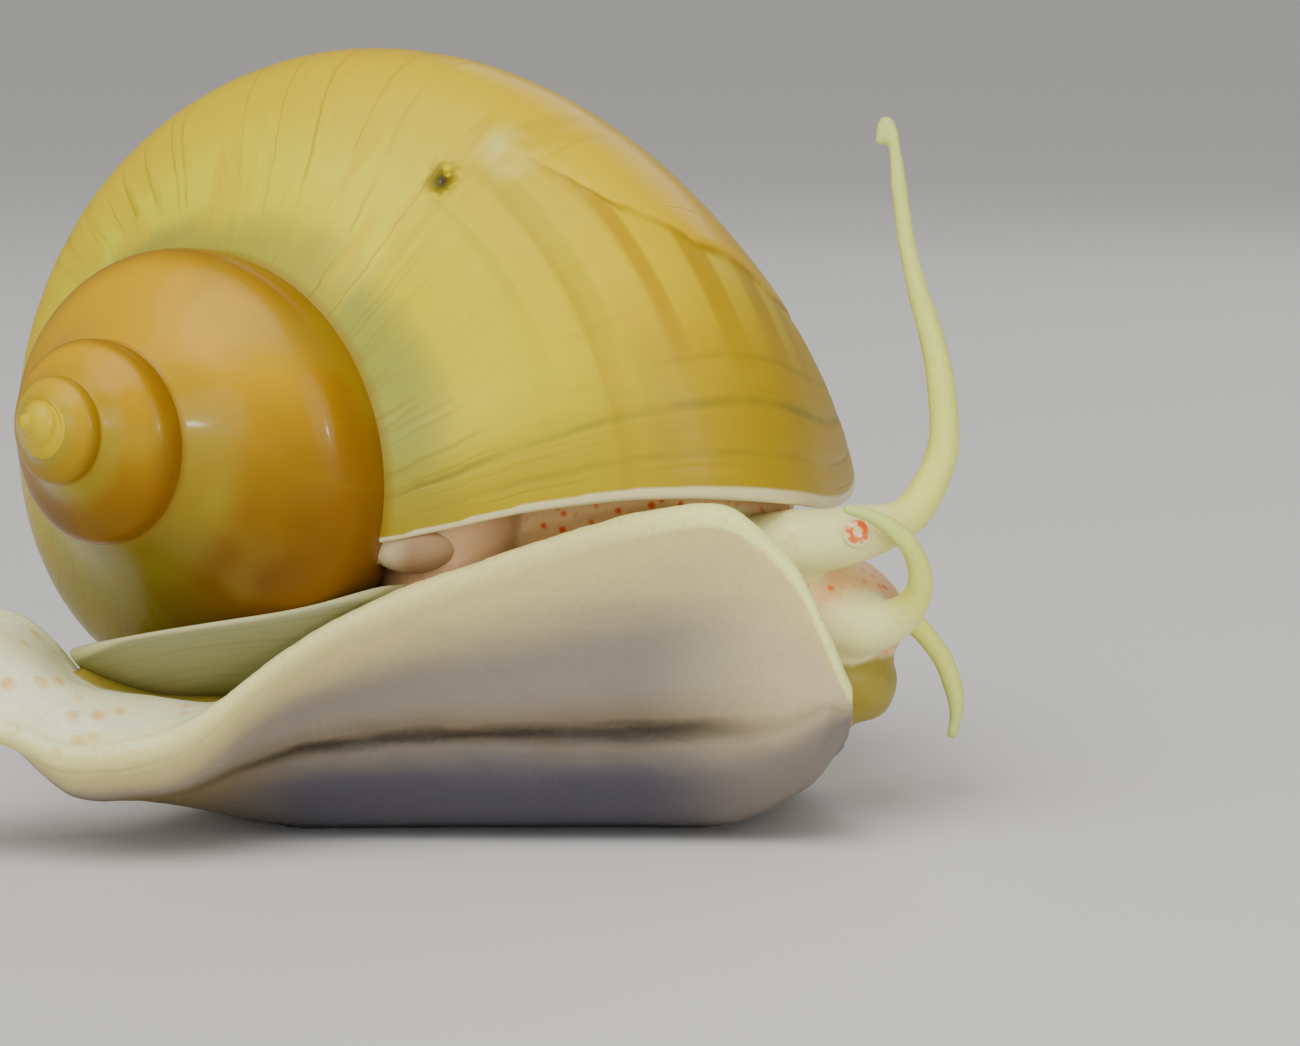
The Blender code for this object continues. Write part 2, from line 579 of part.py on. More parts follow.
# Round flesh
def column(name, stations, upright, grow, finish_name):
    """Elliptical column through stations, upright along z or lying along x."""
    steps = COLUMN_STEPS * (len(stations) - 1)
    values = smooth_through(stations, np.linspace(0, len(stations) - 1, steps + 1))
    rings = []
    for x, y, z, half, width in values:
        ring = []
        for turn in np.linspace(0.0, 2.0 * math.pi, COLUMN_SIDES, endpoint=False):
            along = (half + grow) * math.cos(turn)
            across = (width + grow) * math.sin(turn)
            ring.append((x + along, y + across, z) if upright else (x, y + across, z + along))
        rings.append(ring)
    axis = 2 if upright else 0
    rings[0] = [tuple(c - grow * (i == axis) for i, c in enumerate(p)) for p in rings[0]]
    rings[-1] = [tuple(c + grow * (i == axis) for i, c in enumerate(p)) for p in rings[-1]]
    return loft(name, rings, finish_name)


def grown(stations, upright):
    """A column grown by the gap, to cut its neighbours clear of it."""
    return column("cutter", stations, upright, GAP, "pale flesh")


def tube(name, stations, sides, start, end, grow, finish_name, rounded=False):
    """Round tube along a smooth path, between two places along its stations."""
    steps = max(TUBE_STEPS, round((end - start) * TUBE_STEPS))
    places = np.linspace(start, end, steps + 1)
    if rounded:
        tip = end - np.array(TIP_PLACES)
        places = np.concatenate([places[:-1], tip, [end]])
    values = smooth_through(stations, places)
    path = values[:, :3]
    tangent = np.gradient(path, axis=0)
    across = Vector((0.0, 1.0, 0.0))
    rings = []
    for i, (point, ahead) in enumerate(zip(path, tangent)):
        ahead = Vector(ahead).normalized()
        across = (across - ahead * across.dot(ahead)).normalized()
        up = ahead.cross(across)
        radius = values[i, 3] + grow
        if rounded and i == len(path) - 1:
            radius *= TIP_TAPER
        turns = np.linspace(0.0, 2.0 * math.pi, sides, endpoint=False)
        rings.append([Vector(point) + (across * math.cos(a) + up * math.sin(a)) * radius for a in turns])
    return loft(name, rings, finish_name)


def tube_lengths(names, stations, sides, breaks, finish_name):
    """A long feeler divided into lengths, with the gap between one length and the next."""
    pieces = []
    ends = [0.0] + list(breaks) + [len(stations) - 1.0]
    path = np.asarray(stations, float)[:, :3]
    for name, start, end in zip(names, ends, ends[1:]):
        last = end == ends[-1]
        here = min(int(end), len(path) - 2)
        spacing = np.linalg.norm(path[here + 1] - path[here])
        stop = end if last else end - GAP / spacing
        pieces.append(tube(name, stations, sides, start, stop, 0.0, finish_name, rounded=last))
    return pieces


def build_head():
    """Neck, head, snout and lips, each cut clear of what it grows from."""
    neck = column("neck", NECK, True, 0.0, "pale flesh")
    cut(neck, build_foot_length("cutter", TAIL_RINGS, FOOT_RINGS, GAP), shell_clearance(open_mouth=True))
    cut(neck, callus_clearance())
    head = column("head", HEAD, False, 0.0, "pale flesh")
    cut(head, grown(NECK, True), shell_clearance())
    snout = column("snout", SNOUT, False, 0.0, "pale flesh")
    cut(snout, grown(HEAD, False), grown(NECK, True))
    lips = column("lips", LIPS, False, 0.0, "cream flesh")
    cut(lips, grown(SNOUT, False), grown(HEAD, False), grown(NECK, True))
    cut(lips, column("slit", MOUTH_SLIT, False, 0.0, "pale flesh"))


def build_feelers(side, stalk, tentacle, palp, eye):
    """Eye stalk, eye, tentacle and palp of one side of the head."""
    end = len(stalk) - 1.0 - STALK_SHORT
    stalk_piece = tube(f"eye_stalk_{side}", stalk, STALK_SIDES, 0.0, end, 0.0, "cream flesh")
    cut(stalk_piece, grown(HEAD, False), grown(NECK, True), grown(SNOUT, False))
    cut(stalk_piece, ball("cutter", eye, EYE_RADIUS + GAP, "pale flesh"))
    ball(f"eye_{side}", eye, EYE_RADIUS, "orange eye")
    names = [f"tentacle_{side}_{part}" for part in ("lower", "middle", "upper")]
    tube_lengths(names, tentacle, FEELER_SIDES, TENTACLE_BREAKS, "cream flesh")
    names = [f"palp_{side}_root", f"palp_{side}_tip"]
    root = tube_lengths(names, palp, FEELER_SIDES, PALP_BREAKS, "cream flesh")[0]
    cut(root, grown(SNOUT, False), grown(HEAD, False), grown(LIPS, False))


def build_siphon():
    """Short breathing tube rolled from the left side of the neck, open at its end."""
    siphon = tube("siphon", SIPHON, SIPHON_SIDES, 0.0, len(SIPHON) - 1.0, 0.0, "pale flesh")
    cut(siphon, tube("bore", SIPHON_BORE, BORE_SIDES, 0.0, len(SIPHON_BORE) - 1.0, 0.0, "pale flesh"))
    cut(siphon, grown(NECK, True))


def place_on_origin():
    """Hangs every piece on one empty that sets the origin under the middle of the animal."""
    root = bpy.data.objects.new("snail", None)
    bpy.context.scene.collection.objects.link(root)
    root.location = Vector(ORIGIN) * MM
    for piece in bpy.data.objects:
        if piece is not root:
            piece.parent = root
            piece.data.shade_smooth()
            piece.data.set_sharp_from_angle(angle=SHARP_EDGE)


def main():
    clear_scene()
    build_shell()
    build_mantle()
    build_operculum()
    for name, start, end in FOOT_LENGTHS:
        build_foot_length(name, start, end)
    build_head()
    build_feelers("right", STALK_RIGHT, TENTACLE_RIGHT, PALP_RIGHT, EYE_RIGHT)
    build_feelers("left", STALK_LEFT, TENTACLE_LEFT, PALP_LEFT, EYE_LEFT)
    build_siphon()
    place_on_origin()


main()
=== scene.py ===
"""A crawling apple snail: shell, moist skin, operculum and eyes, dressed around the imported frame.

Sizes are in millimetres in the snail's own axes: x towards the head, y to its left side, z up
from the floor. Each finished mesh is moved onto the frame, in metres.
"""

import logging
import math
from dataclasses import dataclass, field
from enum import Enum
from typing import Any, Optional, Sequence, Union

import bmesh
import bpy
import numpy as np
from mathutils import Matrix, Vector, noise
from mathutils.bvhtree import BVHTree
from mathutils.kdtree import KDTree

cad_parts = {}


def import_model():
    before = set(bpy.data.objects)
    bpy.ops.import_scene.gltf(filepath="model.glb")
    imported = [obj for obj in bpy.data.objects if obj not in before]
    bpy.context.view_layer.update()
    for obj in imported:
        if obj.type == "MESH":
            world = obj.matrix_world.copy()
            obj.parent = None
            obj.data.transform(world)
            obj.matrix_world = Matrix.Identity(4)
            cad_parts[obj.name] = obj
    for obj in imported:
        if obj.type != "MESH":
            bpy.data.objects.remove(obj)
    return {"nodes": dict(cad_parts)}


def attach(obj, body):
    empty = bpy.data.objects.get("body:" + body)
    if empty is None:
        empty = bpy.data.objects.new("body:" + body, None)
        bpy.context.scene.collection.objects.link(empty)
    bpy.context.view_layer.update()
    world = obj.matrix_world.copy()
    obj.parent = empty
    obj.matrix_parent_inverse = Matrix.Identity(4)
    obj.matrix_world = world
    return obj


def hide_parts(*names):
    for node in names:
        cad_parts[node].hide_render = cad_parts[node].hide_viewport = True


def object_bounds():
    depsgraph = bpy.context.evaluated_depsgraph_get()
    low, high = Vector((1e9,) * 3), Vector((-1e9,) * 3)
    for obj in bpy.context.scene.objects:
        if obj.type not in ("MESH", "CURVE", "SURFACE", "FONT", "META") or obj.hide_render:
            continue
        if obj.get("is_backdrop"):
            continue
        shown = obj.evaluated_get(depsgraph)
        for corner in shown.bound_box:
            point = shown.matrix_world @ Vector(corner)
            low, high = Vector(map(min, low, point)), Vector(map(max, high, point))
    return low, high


LOG = logging.getLogger("apple_snail")
MM = 0.001
ORIGIN = (12.94, -4.79, 0.0)
MIX_FACTOR, MIX_FIRST, MIX_SECOND = 0, 6, 7
MIX_RESULT = 2
DOT_RANDOMNESS = 0.9
DOT_EDGE = 0.35
Row = Sequence[float]
Colour = tuple[float, float, float]
Socket = bpy.types.NodeSocket


class Mark(Enum):
    """Measures that the meshes carry for their finishes, one float attribute each."""

    TURN = "turn"
    SHARE = "share"
    INSIDE = "inside"
    SCAR = "scar"
    FOLD = "fold"
    SOLE = "sole"
    RIM = "rim"
    TAIL = "tail"
    NECK = "neck"
    SNOUT = "snout"
    LIPS = "lips"
    FEELER = "feeler"
    ALONG = "along"
    COLLAR = "collar"
    GROWTH = "growth"
    OUTWARD = "outward"


def smooth_through(points: Sequence[Row], places: Sequence[float]) -> np.ndarray:
    """Follows a natural cubic curve through points.

    Args:
        points: Rows of numbers, at places 0, 1, 2 and so on.
        places: Where the curve is wanted.

    Returns:
        One row for each place.
    """
    points = np.asarray(points, float)
    count = len(points)
    matrix = np.eye(count)
    target = np.zeros_like(points)
    for i in range(1, count - 1):
        matrix[i, i - 1 : i + 2] = (1.0, 4.0, 1.0)
        target[i] = 6.0 * (points[i - 1] - 2.0 * points[i] + points[i + 1])
    bend = np.linalg.solve(matrix, target)
    places = np.asarray(places, float)
    low = np.clip(places.astype(int), 0, count - 2)
    after = (places - low)[:, None]
    before = 1.0 - after
    straight = before * points[low] + after * points[low + 1]
    curved = ((before**3 - before) * bend[low] + (after**3 - after) * bend[low + 1]) / 6.0
    return straight + curved


def smooth_step(low: float, high: float, values: np.ndarray) -> np.ndarray:
    """Rises from 0 at low to 1 at high, without a corner."""
    share = np.clip((values - low) / (high - low), 0.0, 1.0)
    return share * share * (3.0 - 2.0 * share)


def step_at(low: float, high: float, value: float) -> float:
    """The smooth step of one value."""
    return float(smooth_step(low, high, np.array([value]))[0])


def hump(values: np.ndarray, middle: float, width: float) -> np.ndarray:
    """1 at middle, falling away over about width to either side."""
    return np.exp(-(((values - middle) / width) ** 2))


def ring_turns(count: int) -> np.ndarray:
    """Evenly spaced angles round a closed ring."""
    return np.linspace(0.0, 2.0 * math.pi, count, endpoint=False)


def activate(pieces: Sequence[bpy.types.Object]) -> None:
    """Selects pieces alone, the first of them active.

    Args:
        pieces: The pieces.
    """
    bpy.ops.object.select_all(action="DESELECT")
    for piece in pieces:
        piece.select_set(True)
    bpy.context.view_layer.objects.active = pieces[0]


def ripple(points: np.ndarray, size: float, seed: float) -> np.ndarray:
    """Noise between about -1 and 1 whose lumps are size millimetres across."""
    return np.array([noise.noise(Vector(p) / size + Vector((seed, 0.0, 0.0))) for p in points])


@dataclass
class Solid:
    """A closed mesh in millimetres, with the measures that its points carry."""

    points: np.ndarray
    faces: list[tuple[int, ...]]
    marks: dict[Mark, np.ndarray] = field(default_factory=dict)

    def to_object(self, name: str) -> bpy.types.Object:
        """Makes a mesh object of it, still in millimetres, with its faces turned outwards.

        Args:
            name: The object's name.

        Returns:
            The new object.
        """
        mesh = bpy.data.meshes.new(name)
        mesh.from_pydata([tuple(map(float, p)) for p in self.points], [], self.faces)
        shape = bmesh.new()
        shape.from_mesh(mesh)
        bmesh.ops.recalc_face_normals(shape, faces=shape.faces)
        shape.to_mesh(mesh)
        shape.free()
        piece = bpy.data.objects.new(name, mesh)
        bpy.context.scene.collection.objects.link(piece)
        return piece


def loft(rings: Sequence[np.ndarray], marks: Optional[dict[Mark, np.ndarray]] = None) -> Solid:
    """Skins closed rings of equal length, each end closed by a fan about its middle.

    Args:
        rings: Arrays of points, one for each ring.
        marks: Measures for the rings' points, one value each.

    Returns:
        The closed solid.
    """
    size = len(rings[0])
    points = np.concatenate([np.asarray(ring, float) for ring in rings])
    faces: list[tuple[int, ...]] = []
    for i in range(len(rings) - 1):
        for j in range(size):
            k = (j + 1) % size
            faces.append((i * size + j, i * size + k, (i + 1) * size + k, (i + 1) * size + j))
    carried = dict(marks or {})
    for start in (0, (len(rings) - 1) * size):
        middle = len(points)
        points = np.vstack([points, points[start : start + size].mean(axis=0)])
        faces += [(start + j, start + (j + 1) % size, middle) for j in range(size)]
        carried = {m: np.append(v, v[start : start + size].mean()) for m, v in carried.items()}
    return Solid(points, faces, carried)


def set_mark(mesh: bpy.types.Mesh, mark: Mark, values: np.ndarray, domain: str = "POINT") -> None:
    """Stores one measure on a mesh, for each of its points or face corners."""
    attribute = mesh.attributes.new(mark.value, "FLOAT", domain)
    attribute.data.foreach_set("value", np.asarray(values, np.float32))


def points_of(mesh: bpy.types.Mesh) -> np.ndarray:
    """Reads the mesh's points.

    Args:
        mesh: The mesh.

    Returns:
        One row for each point.
    """
    flat = np.empty(len(mesh.vertices) * 3)
    mesh.vertices.foreach_get("co", flat)
    return flat.reshape(-1, 3)


def apply_modifiers(piece: bpy.types.Object) -> None:
    """Applies all of a piece's modifiers, in order.

    Args:
        piece: The piece.
    """
    activate([piece])
    for modifier in list(piece.modifiers):
        bpy.ops.object.modifier_apply(modifier=modifier.name)


def combine(piece: bpy.types.Object, others: Sequence[bpy.types.Object], operation: str) -> None:
    """Joins closed pieces to a piece, or cuts them from it, and then removes them.

    Args:
        piece: The piece that is changed.
        others: The closed pieces.
        operation: UNION or DIFFERENCE.
    """
    group = bpy.data.collections.new("operands")
    bpy.context.scene.collection.children.link(group)
    for other in others:
        group.objects.link(other)
    modifier = piece.modifiers.new("combine", "BOOLEAN")
    modifier.operation = operation
    modifier.operand_type = "COLLECTION"
    modifier.collection = group
    modifier.solver = "MANIFOLD"
    apply_modifiers(piece)
    for other in others:
        bpy.data.objects.remove(other, do_unlink=True)
    bpy.data.collections.remove(group)


def settle(piece: bpy.types.Object, smooth_below: float = math.pi) -> None:
    """Moves a finished piece from millimetres onto the frame and smooths its shading.

    Args:
        piece: The piece, at the origin.
        smooth_below: Edges that turn by more than this angle stay sharp.
    """
    piece.data.transform(Matrix.Scale(MM, 4) @ Matrix.Translation(Vector(ORIGIN)))
    piece.data.update()
    piece.data.shade_smooth()
    if smooth_below < math.pi:
        piece.data.set_sharp_from_angle(angle=smooth_below)


Operand = Union["Value", float]


class Value:
    """A shader socket; an expression on it adds the Math nodes that work it out."""

    def __init__(self, shader: "Shader", socket: Socket) -> None:
        """Wraps one output socket of the shader's tree."""
        self.shader = shader
        self.socket = socket

    def _math(self, operation: str, first: Operand, second: Operand = 0.0) -> "Value":
        """Adds one Math node on two operands."""
        node = self.shader.node("ShaderNodeMath", {"operation": operation}, {0: first, 1: second})
        return Value(self.shader, node.outputs[0])

    def __add__(self, other: Operand) -> "Value":
        """self + other"""
        return self._math("ADD", self, other)

    __radd__ = __add__

    def __sub__(self, other: Operand) -> "Value":
        """self - other"""
        return self._math("SUBTRACT", self, other)

    def __rsub__(self, other: Operand) -> "Value":
        """other - self"""
        return self._math("SUBTRACT", other, self)

    def __mul__(self, other: Operand) -> "Value":
        """self * other"""
        return self._math("MULTIPLY", self, other)

    __rmul__ = __mul__

    def __abs__(self) -> "Value":
        """abs(self)"""
        return self._math("ABSOLUTE", self)

    def smaller(self, other: Operand) -> "Value":
        """The smaller of the two."""
        return self._math("MINIMUM", self, other)

    def larger(self, other: Operand) -> "Value":
        """The larger of the two."""
        return self._math("MAXIMUM", self, other)

    def step(self, low: float, high: float) -> "Value":
        """Rises smoothly from 0 at low to 1 at high; low may be the larger.

        Args:
            low: The value that gives 0.
            high: The value that gives 1.

        Returns:
            The mask.
        """
        node = self.shader.node(
            "ShaderNodeMapRange",
            {"interpolation_type": "SMOOTHSTEP", "clamp": True},
            {"Value": self, "From Min": low, "From Max": high},
        )
        return Value(self.shader, node.outputs["Result"])

    def bell(self, middle: float, width: float) -> "Value":
        """1 at middle, falling to 0 at width to either side."""
        return abs(self - middle).step(width, 0.0)


Link = Union[Value, Socket, float, Sequence[float]]


class Shader:
    """One material and the nodes that colour it."""

    def __init__(self, name: str) -> None:
        """Starts a material with a Principled shader.

        Args:
            name: The material's name.
        """
        self.material = bpy.data.materials.new(name)
        self.material.use_nodes = True
        self.tree = self.material.node_tree
        self.surface = self.tree.nodes["Principled BSDF"]

    def node(self, kind: str, settings: dict[str, Any], links: dict[Any, Link]) -> bpy.types.Node:
        """Adds one node.

        Args:
            kind: The node's type.
            settings: Its properties.
            links: Values or links for its sockets, by name or number.

        Returns:
            The node.
        """
        node = self.tree.nodes.new(kind)
        for name, setting in settings.items():
            setattr(node, name, setting)
        for name, link in links.items():
            self.feed(node.inputs[name], link)
        return node

    def feed(self, socket: Socket, link: Link) -> None:
        """Links a socket, or sets its value.

        Args:
            socket: The input socket.
            link: What it gets: an output to link, a number, a colour or a vector.
        """
        if isinstance(link, Value):
            self.tree.links.new(link.socket, socket)
        elif isinstance(link, Socket):
            self.tree.links.new(link, socket)
        elif isinstance(link, (int, float)):
            socket.default_value = link
        elif len(link) == 3 and socket.type == "RGBA":
            socket.default_value = (*link, 1.0)
        else:
            socket.default_value = link

    def mark(self, mark: Mark) -> Value:
        """Reads a measure that the mesh carries."""
        node = self.node("ShaderNodeAttribute", {"attribute_name": mark.value}, {})
        return Value(self, node.outputs["Fac"])

    def place(self) -> Socket:
        """The point in the frame, in metres."""
        return self.node("ShaderNodeTexCoord", {}, {}).outputs["Object"]

    def measured(self, axis: str) -> Value:
        """The place in the frame along X, Y or Z, in millimetres."""
        node = self.node("ShaderNodeSeparateXYZ", {}, {0: self.place()})
        return Value(self, node.outputs[axis]) * (1.0 / MM)

    def join(self, x: Link, y: Link, z: Link = 0.0) -> Socket:
        """A vector from three values."""
        return self.node("ShaderNodeCombineXYZ", {}, {0: x, 1: y, 2: z}).outputs[0]

    def noise(self, size: float, detail: float = 2.0, vector: Optional[Link] = None) -> Value:
        """Cloudy noise from 0 to 1.

        Args:
            size: The lumps' size in millimetres or, with a vector, the scale.
            detail: How many finer layers it has.
            vector: Where to read it, instead of the place in the frame.

        Returns:
            The noise.
        """
        links = {"Vector": vector, "Scale": size, "Detail": detail}
        if vector is None:
            links.update({"Vector": self.place(), "Scale": 1.0 / (size * MM)})
        return Value(self, self.node("ShaderNodeTexNoise", {}, links).outputs["Fac"])

    def dots(self, size: float, radius: float) -> Value:
        """Round soft spots, one in each cell.

        Args:
            size: The cells' size in millimetres.
            radius: The spots' radius, as a share of the cell.

        Returns:
            1 in the spots and 0 between them.
        """
        links = {"Vector": self.place(), "Scale": 1.0 / (size * MM), "Randomness": DOT_RANDOMNESS}
        node = self.node("ShaderNodeTexVoronoi", {"feature": "F1"}, links)
        return Value(self, node.outputs["Distance"]).step(radius, radius * DOT_EDGE)

    def mix(self, factor: Link, first: Link, second: Link) -> Socket:
        """Blends two colours.

        Args:
            factor: 0 gives the first, 1 the second.
            first: A colour or its socket.
            second: A colour or its socket.

        Returns:
            The blended colour's socket.
        """
        links = {MIX_FACTOR: factor, MIX_FIRST: first, MIX_SECOND: second}
        node = self.node("ShaderNodeMix", {"data_type": "RGBA", "clamp_factor": True}, links)
        return node.outputs[MIX_RESULT]

    def bump(self, height: Value, depth: float, strength: float = 1.0) -> None:
        """Tilts the surface's normal as a relief would.

        Args:
            height: The relief, from 0 to 1.
            depth: Its depth at 1, in millimetres.
            strength: How much of it shows.
        """
        links = {"Height": height, "Distance": depth * MM, "Strength": strength}
        normal = self.node("ShaderNodeBump", {}, links).outputs["Normal"]
        self.feed(self.surface.inputs["Normal"], normal)

    def set_surface(self, settings: dict[str, Link]) -> None:
        """Feeds the Principled shader's sockets."""
        for name, link in settings.items():
            self.feed(self.surface.inputs[name], link)


class GrowthLines:
    """The shell's measures and the noises along its growth, as its finish reads them."""

    def __init__(self, shader: Shader) -> None:
        """Reads the measures and adds the noises.

        Args:
            shader: The material's shader.
        """
        self.shader = shader
        self.turn = shader.mark(Mark.TURN)
        self.share = shader.mark(Mark.SHARE)
        self.inside = shader.mark(Mark.INSIDE)
        self.past = shader.mark(Mark.SCAR)
        self.fine = self.lines(per_turn=150.0, across=5.0, detail=3.0)
        self.broad = self.lines(per_turn=34.0, across=3.0, detail=2.0, seed=5.0)
        self.bands = self.lines(per_turn=3.0, across=26.0, detail=1.0, seed=9.0)
        self.strands = self.lines(per_turn=46.0, across=0.9, detail=1.0, seed=2.0)
        self.clouds = shader.noise(size=7.0, detail=2.0)
        self.patches = shader.noise(size=3.0, detail=1.0)
        self.wave = (self.clouds - 0.5) * 0.10
        # Height above the floor, made uneven; the painted light and shade on the spire and the body
        # whorl follow it.
        self.height = shader.measured("Z") + (self.clouds - 0.5) * 5.0
        self.young = self.past.step(-0.003, 0.004)

    def lines(self, per_turn: float, across: float, detail: float, seed: float = 0.0) -> Value:
        """Noise drawn out along the growth lines.

        Args:
            per_turn: Lumps in one turn of the spiral.
            across: Lumps across the outline.
            detail: How many finer layers it has.
            seed: Tells one pattern from another.

        Returns:
            The noise, from 0 to 1.
        """
        place = self.shader.join(self.turn * per_turn, self.share * across, seed)
        return self.shader.noise(1.0, detail, place)


@dataclass(frozen=True)
class ShellFinish:
    """Glossy golden shell, ivory below each suture, with growth lines and a mended break.

    Bands are shares of the outline, turns are turns of the spiral, and heights are millimetres
    above the floor, each given as where a colour starts and where it is full. Colours that follow
    height are painted light and shade: lighter high on the shell, painted shade lower down.

    Attributes:
        bead_at: Turn and share of the pale bead.
        pit_at: Turn and share of the dark pit.
        rests: Turn, width and strength of each resting line.
    """

    chalk: Colour = (0.44, 0.40, 0.04)
    ivory: Colour = (0.78, 0.70, 0.01)
    gold: Colour = (0.77, 0.555, 0.0)
    sunny: Colour = (0.78, 0.45, 0.0)
    moss: Colour = (0.37, 0.37, 0.05)
    sage: Colour = (0.36, 0.28, 0.02)
    lemon: Colour = (0.72, 0.60, 0.0)
    honey: Colour = (0.50, 0.30, 0.0)
    bronze: Colour = (0.42, 0.29, 0.01)
    # Amber, orange and brown paint light and shade on the spire: amber high up is painted light, brown
    # low down is painted shade.
    amber: Colour = (0.66, 0.36, 0.0)
    orange: Colour = (0.36, 0.185, 0.0)
    rust: Colour = (0.25, 0.105, 0.002)
    brown: Colour = (0.165, 0.066, 0.003)
    # Olive: the resting lines' own colour, also painted shade low on the older body whorl and on the
    # spire.
    olive: Colour = (0.22, 0.185, 0.025)
    line: Colour = (0.25, 0.13, 0.004)
    bead: Colour = (0.84, 0.80, 0.26)
    apex: Colour = (0.72, 0.54, 0.01)
    pit: Colour = (0.05, 0.035, 0.01)
    lip: Colour = (0.84, 0.74, 0.40)
    # The mouth's inside: partly its own brownish colour, partly painted shade in the mouth.
    shaded_throat: Colour = (0.36, 0.22, 0.11)
    last_whorl: Row = (-0.88, -0.68)
    tip_turns: Row = (-2.7, -3.9)
    # Heights and turns over which the older body whorl takes olive as painted shade low down.
    low_shade_heights: Row = (24.0, 11.0)
    low_shade_turns: Row = (-0.30, -0.42)
    # Where, along x, the inside turns from the lip's pale colour to its brownish painted shade.
    throat_shade_reach: Row = (-1.7, 0.4)
    ivory_band: Row = (0.01, 0.10)
    gold_band: Row = (0.13, 0.25)
    sunny_band: Row = (0.25, 0.42)
    lemon_band: Row = (0.03, 0.09)
    honey_band: Row = (0.17, 0.27)
    rust_band: Row = (0.21, 0.33)
    bronze_turns: Row = (-0.070, -0.006)
    bronze_band: Row = (0.55, 0.30)
    # Heights of painted light and shade: the spire is brown below, orange, then amber above, and olive
    # below sage.
    orange_shade_heights: Row = (15.0, 23.0)
    amber_light_heights: Row = (20.5, 28.0)
    sage_shade_heights: Row = (12.0, 22.0)
    lip_turns: Row = (-0.0034, -0.0018)
    bead_at: Row = (-0.150, 0.250)
    pit_at: Row = (-0.166, 0.187)
    rests: tuple[Row, ...] = ((-0.031, 0.003, 1.0), (-0.047, 0.0025, 0.5), (-0.014, 0.0025, 0.5))
    rough: float = 0.20
    coat: float = 0.12
    coat_rough: float = 0.10
    refraction: float = 1.30
    specular: float = 0.25
    relief: float = 0.08

    def make(self) -> bpy.types.Material:
        """Builds the material on the shell's turn, share and distance past the break.

        Returns:
            The material.
        """
        shader = Shader("shell_gloss")
        at = GrowthLines(shader)
        last = at.turn.step(*self.last_whorl)
        tip = at.turn.step(*self.tip_turns)
        body = shader.mix(at.young, self.older(at), self.newer(at))
        # Painted shade: olive darkens the older body whorl low down.
        low_painted_shade = at.height.step(*self.low_shade_heights) * at.turn.step(*self.low_shade_turns)
        body = shader.mix(low_painted_shade * 0.85, body, self.olive)
        colour = shader.mix(last, self.inner(at), body)
        colour = shader.mix(tip * 0.65, colour, self.apex)
        colour = shader.mix(at.share.step(0.010, 0.0) * (1.0 - tip) * 0.5, colour, self.line)
        thread = abs(at.strands - 0.5).step(0.028, 0.0) * at.clouds.step(0.38, 0.58)
        thread = thread.larger(abs(at.fine - 0.5).step(0.05, 0.0) * 0.15)
        colour = self.streaked(at, colour, thread, last)
        colour = self.mended(at, colour)
        colour = self.lip_edge(at, colour)
        # Inside the mouth: the lip's pale colour at its rear corner, turning towards the head into
        # brownish inside colour and painted shade.
        depth = shader.measured("X").step(*self.throat_shade_reach)
        shaded_throat = shader.mix(depth, self.lip, self.shaded_throat)
        colour = shader.mix(at.inside, colour, shaded_throat)
        lines = (at.fine * 0.4 + at.broad * 0.7 + thread * -0.3) * (0.15 + 0.85 * last)
        shader.bump(lines, self.relief, 0.7)
        shader.set_surface({
            "Base Color": colour,
            "Roughness": self.rough + at.fine * 0.10 + at.young * 0.08 + at.inside * 0.1,
            "Coat Weight": (1.0 - last) * self.coat,
            "Coat Roughness": self.coat_rough,
            "IOR": self.refraction,
            "Specular IOR Level": self.specular,
        })
        return shader.material

    def older(self, at: GrowthLines) -> Socket:
        """Colour of the last whorl behind the mended break.

        Args:
            at: The shell's measures.

        Returns:
            The colour's socket.
        """
        mix = at.shader.mix
        share = at.share + at.wave
        colour = mix(share.step(*self.ivory_band), self.chalk, self.ivory)
        colour = mix(at.broad.step(0.50, 0.60) * share.step(0.0, 0.08) * 0.75, colour, self.gold)
        colour = mix(share.step(*self.gold_band), colour, self.gold)
        return mix(share.step(*self.sunny_band) * 0.8, colour, self.sunny)

    def newer(self, at: GrowthLines) -> Socket:
        """Colour of the growth since the break: lemon and honey bands, bronze at the lip.

        Args:
            at: The shell's measures.

        Returns:
            The colour's socket.
        """
        mix, share = at.shader.mix, at.share
        uneven = share + (at.clouds - 0.5) * 0.05
        colour = mix(uneven.step(*self.lemon_band), self.moss, self.lemon)
        colour = mix(uneven.step(*self.honey_band) * 0.9, colour, self.honey)
        bright = at.bands.step(0.56, 0.44) * share.step(0.13, 0.20) * at.turn.step(-0.03, -0.09)
        colour = mix(bright * 0.8, colour, self.gold)
        colour = mix(at.bands.step(0.52, 0.62) * share.step(0.12, 0.20) * 0.5, colour, self.honey)
        colour = mix(share.bell(0.225, 0.02) * 0.4, colour, self.lemon)
        newest = at.turn.step(*self.bronze_turns) * share.step(*self.bronze_band)
        return mix(newest * 0.75, colour, self.bronze)

    def inner(self, at: GrowthLines) -> Socket:
        """Colour of the spire: painted light and shade by height, amber above and brown below, greenish
        beside the suture.

        Args:
            at: The shell's measures.

        Returns:
            The colour's socket.
        """
        mix, height = at.shader.mix, at.height
        share = at.share + at.wave * 0.6
        # Painted light and shade by height: brown low, orange higher, amber at the top.
        colour = mix(height.step(*self.orange_shade_heights), self.brown, self.orange)
        colour = mix(height.step(*self.amber_light_heights), colour, self.amber)
        colour = mix(share.step(*self.rust_band) * 0.75, colour, self.rust)
        # Olive below and sage above, by height, as painted shade.
        green = mix(height.step(*self.sage_shade_heights), self.olive, self.sage)
        beside = share.step(0.15, 0.05) * height.step(27.5, 22.0) * 0.6
        return mix(beside + at.clouds.step(0.50, 0.66) * 0.28, colour, green)

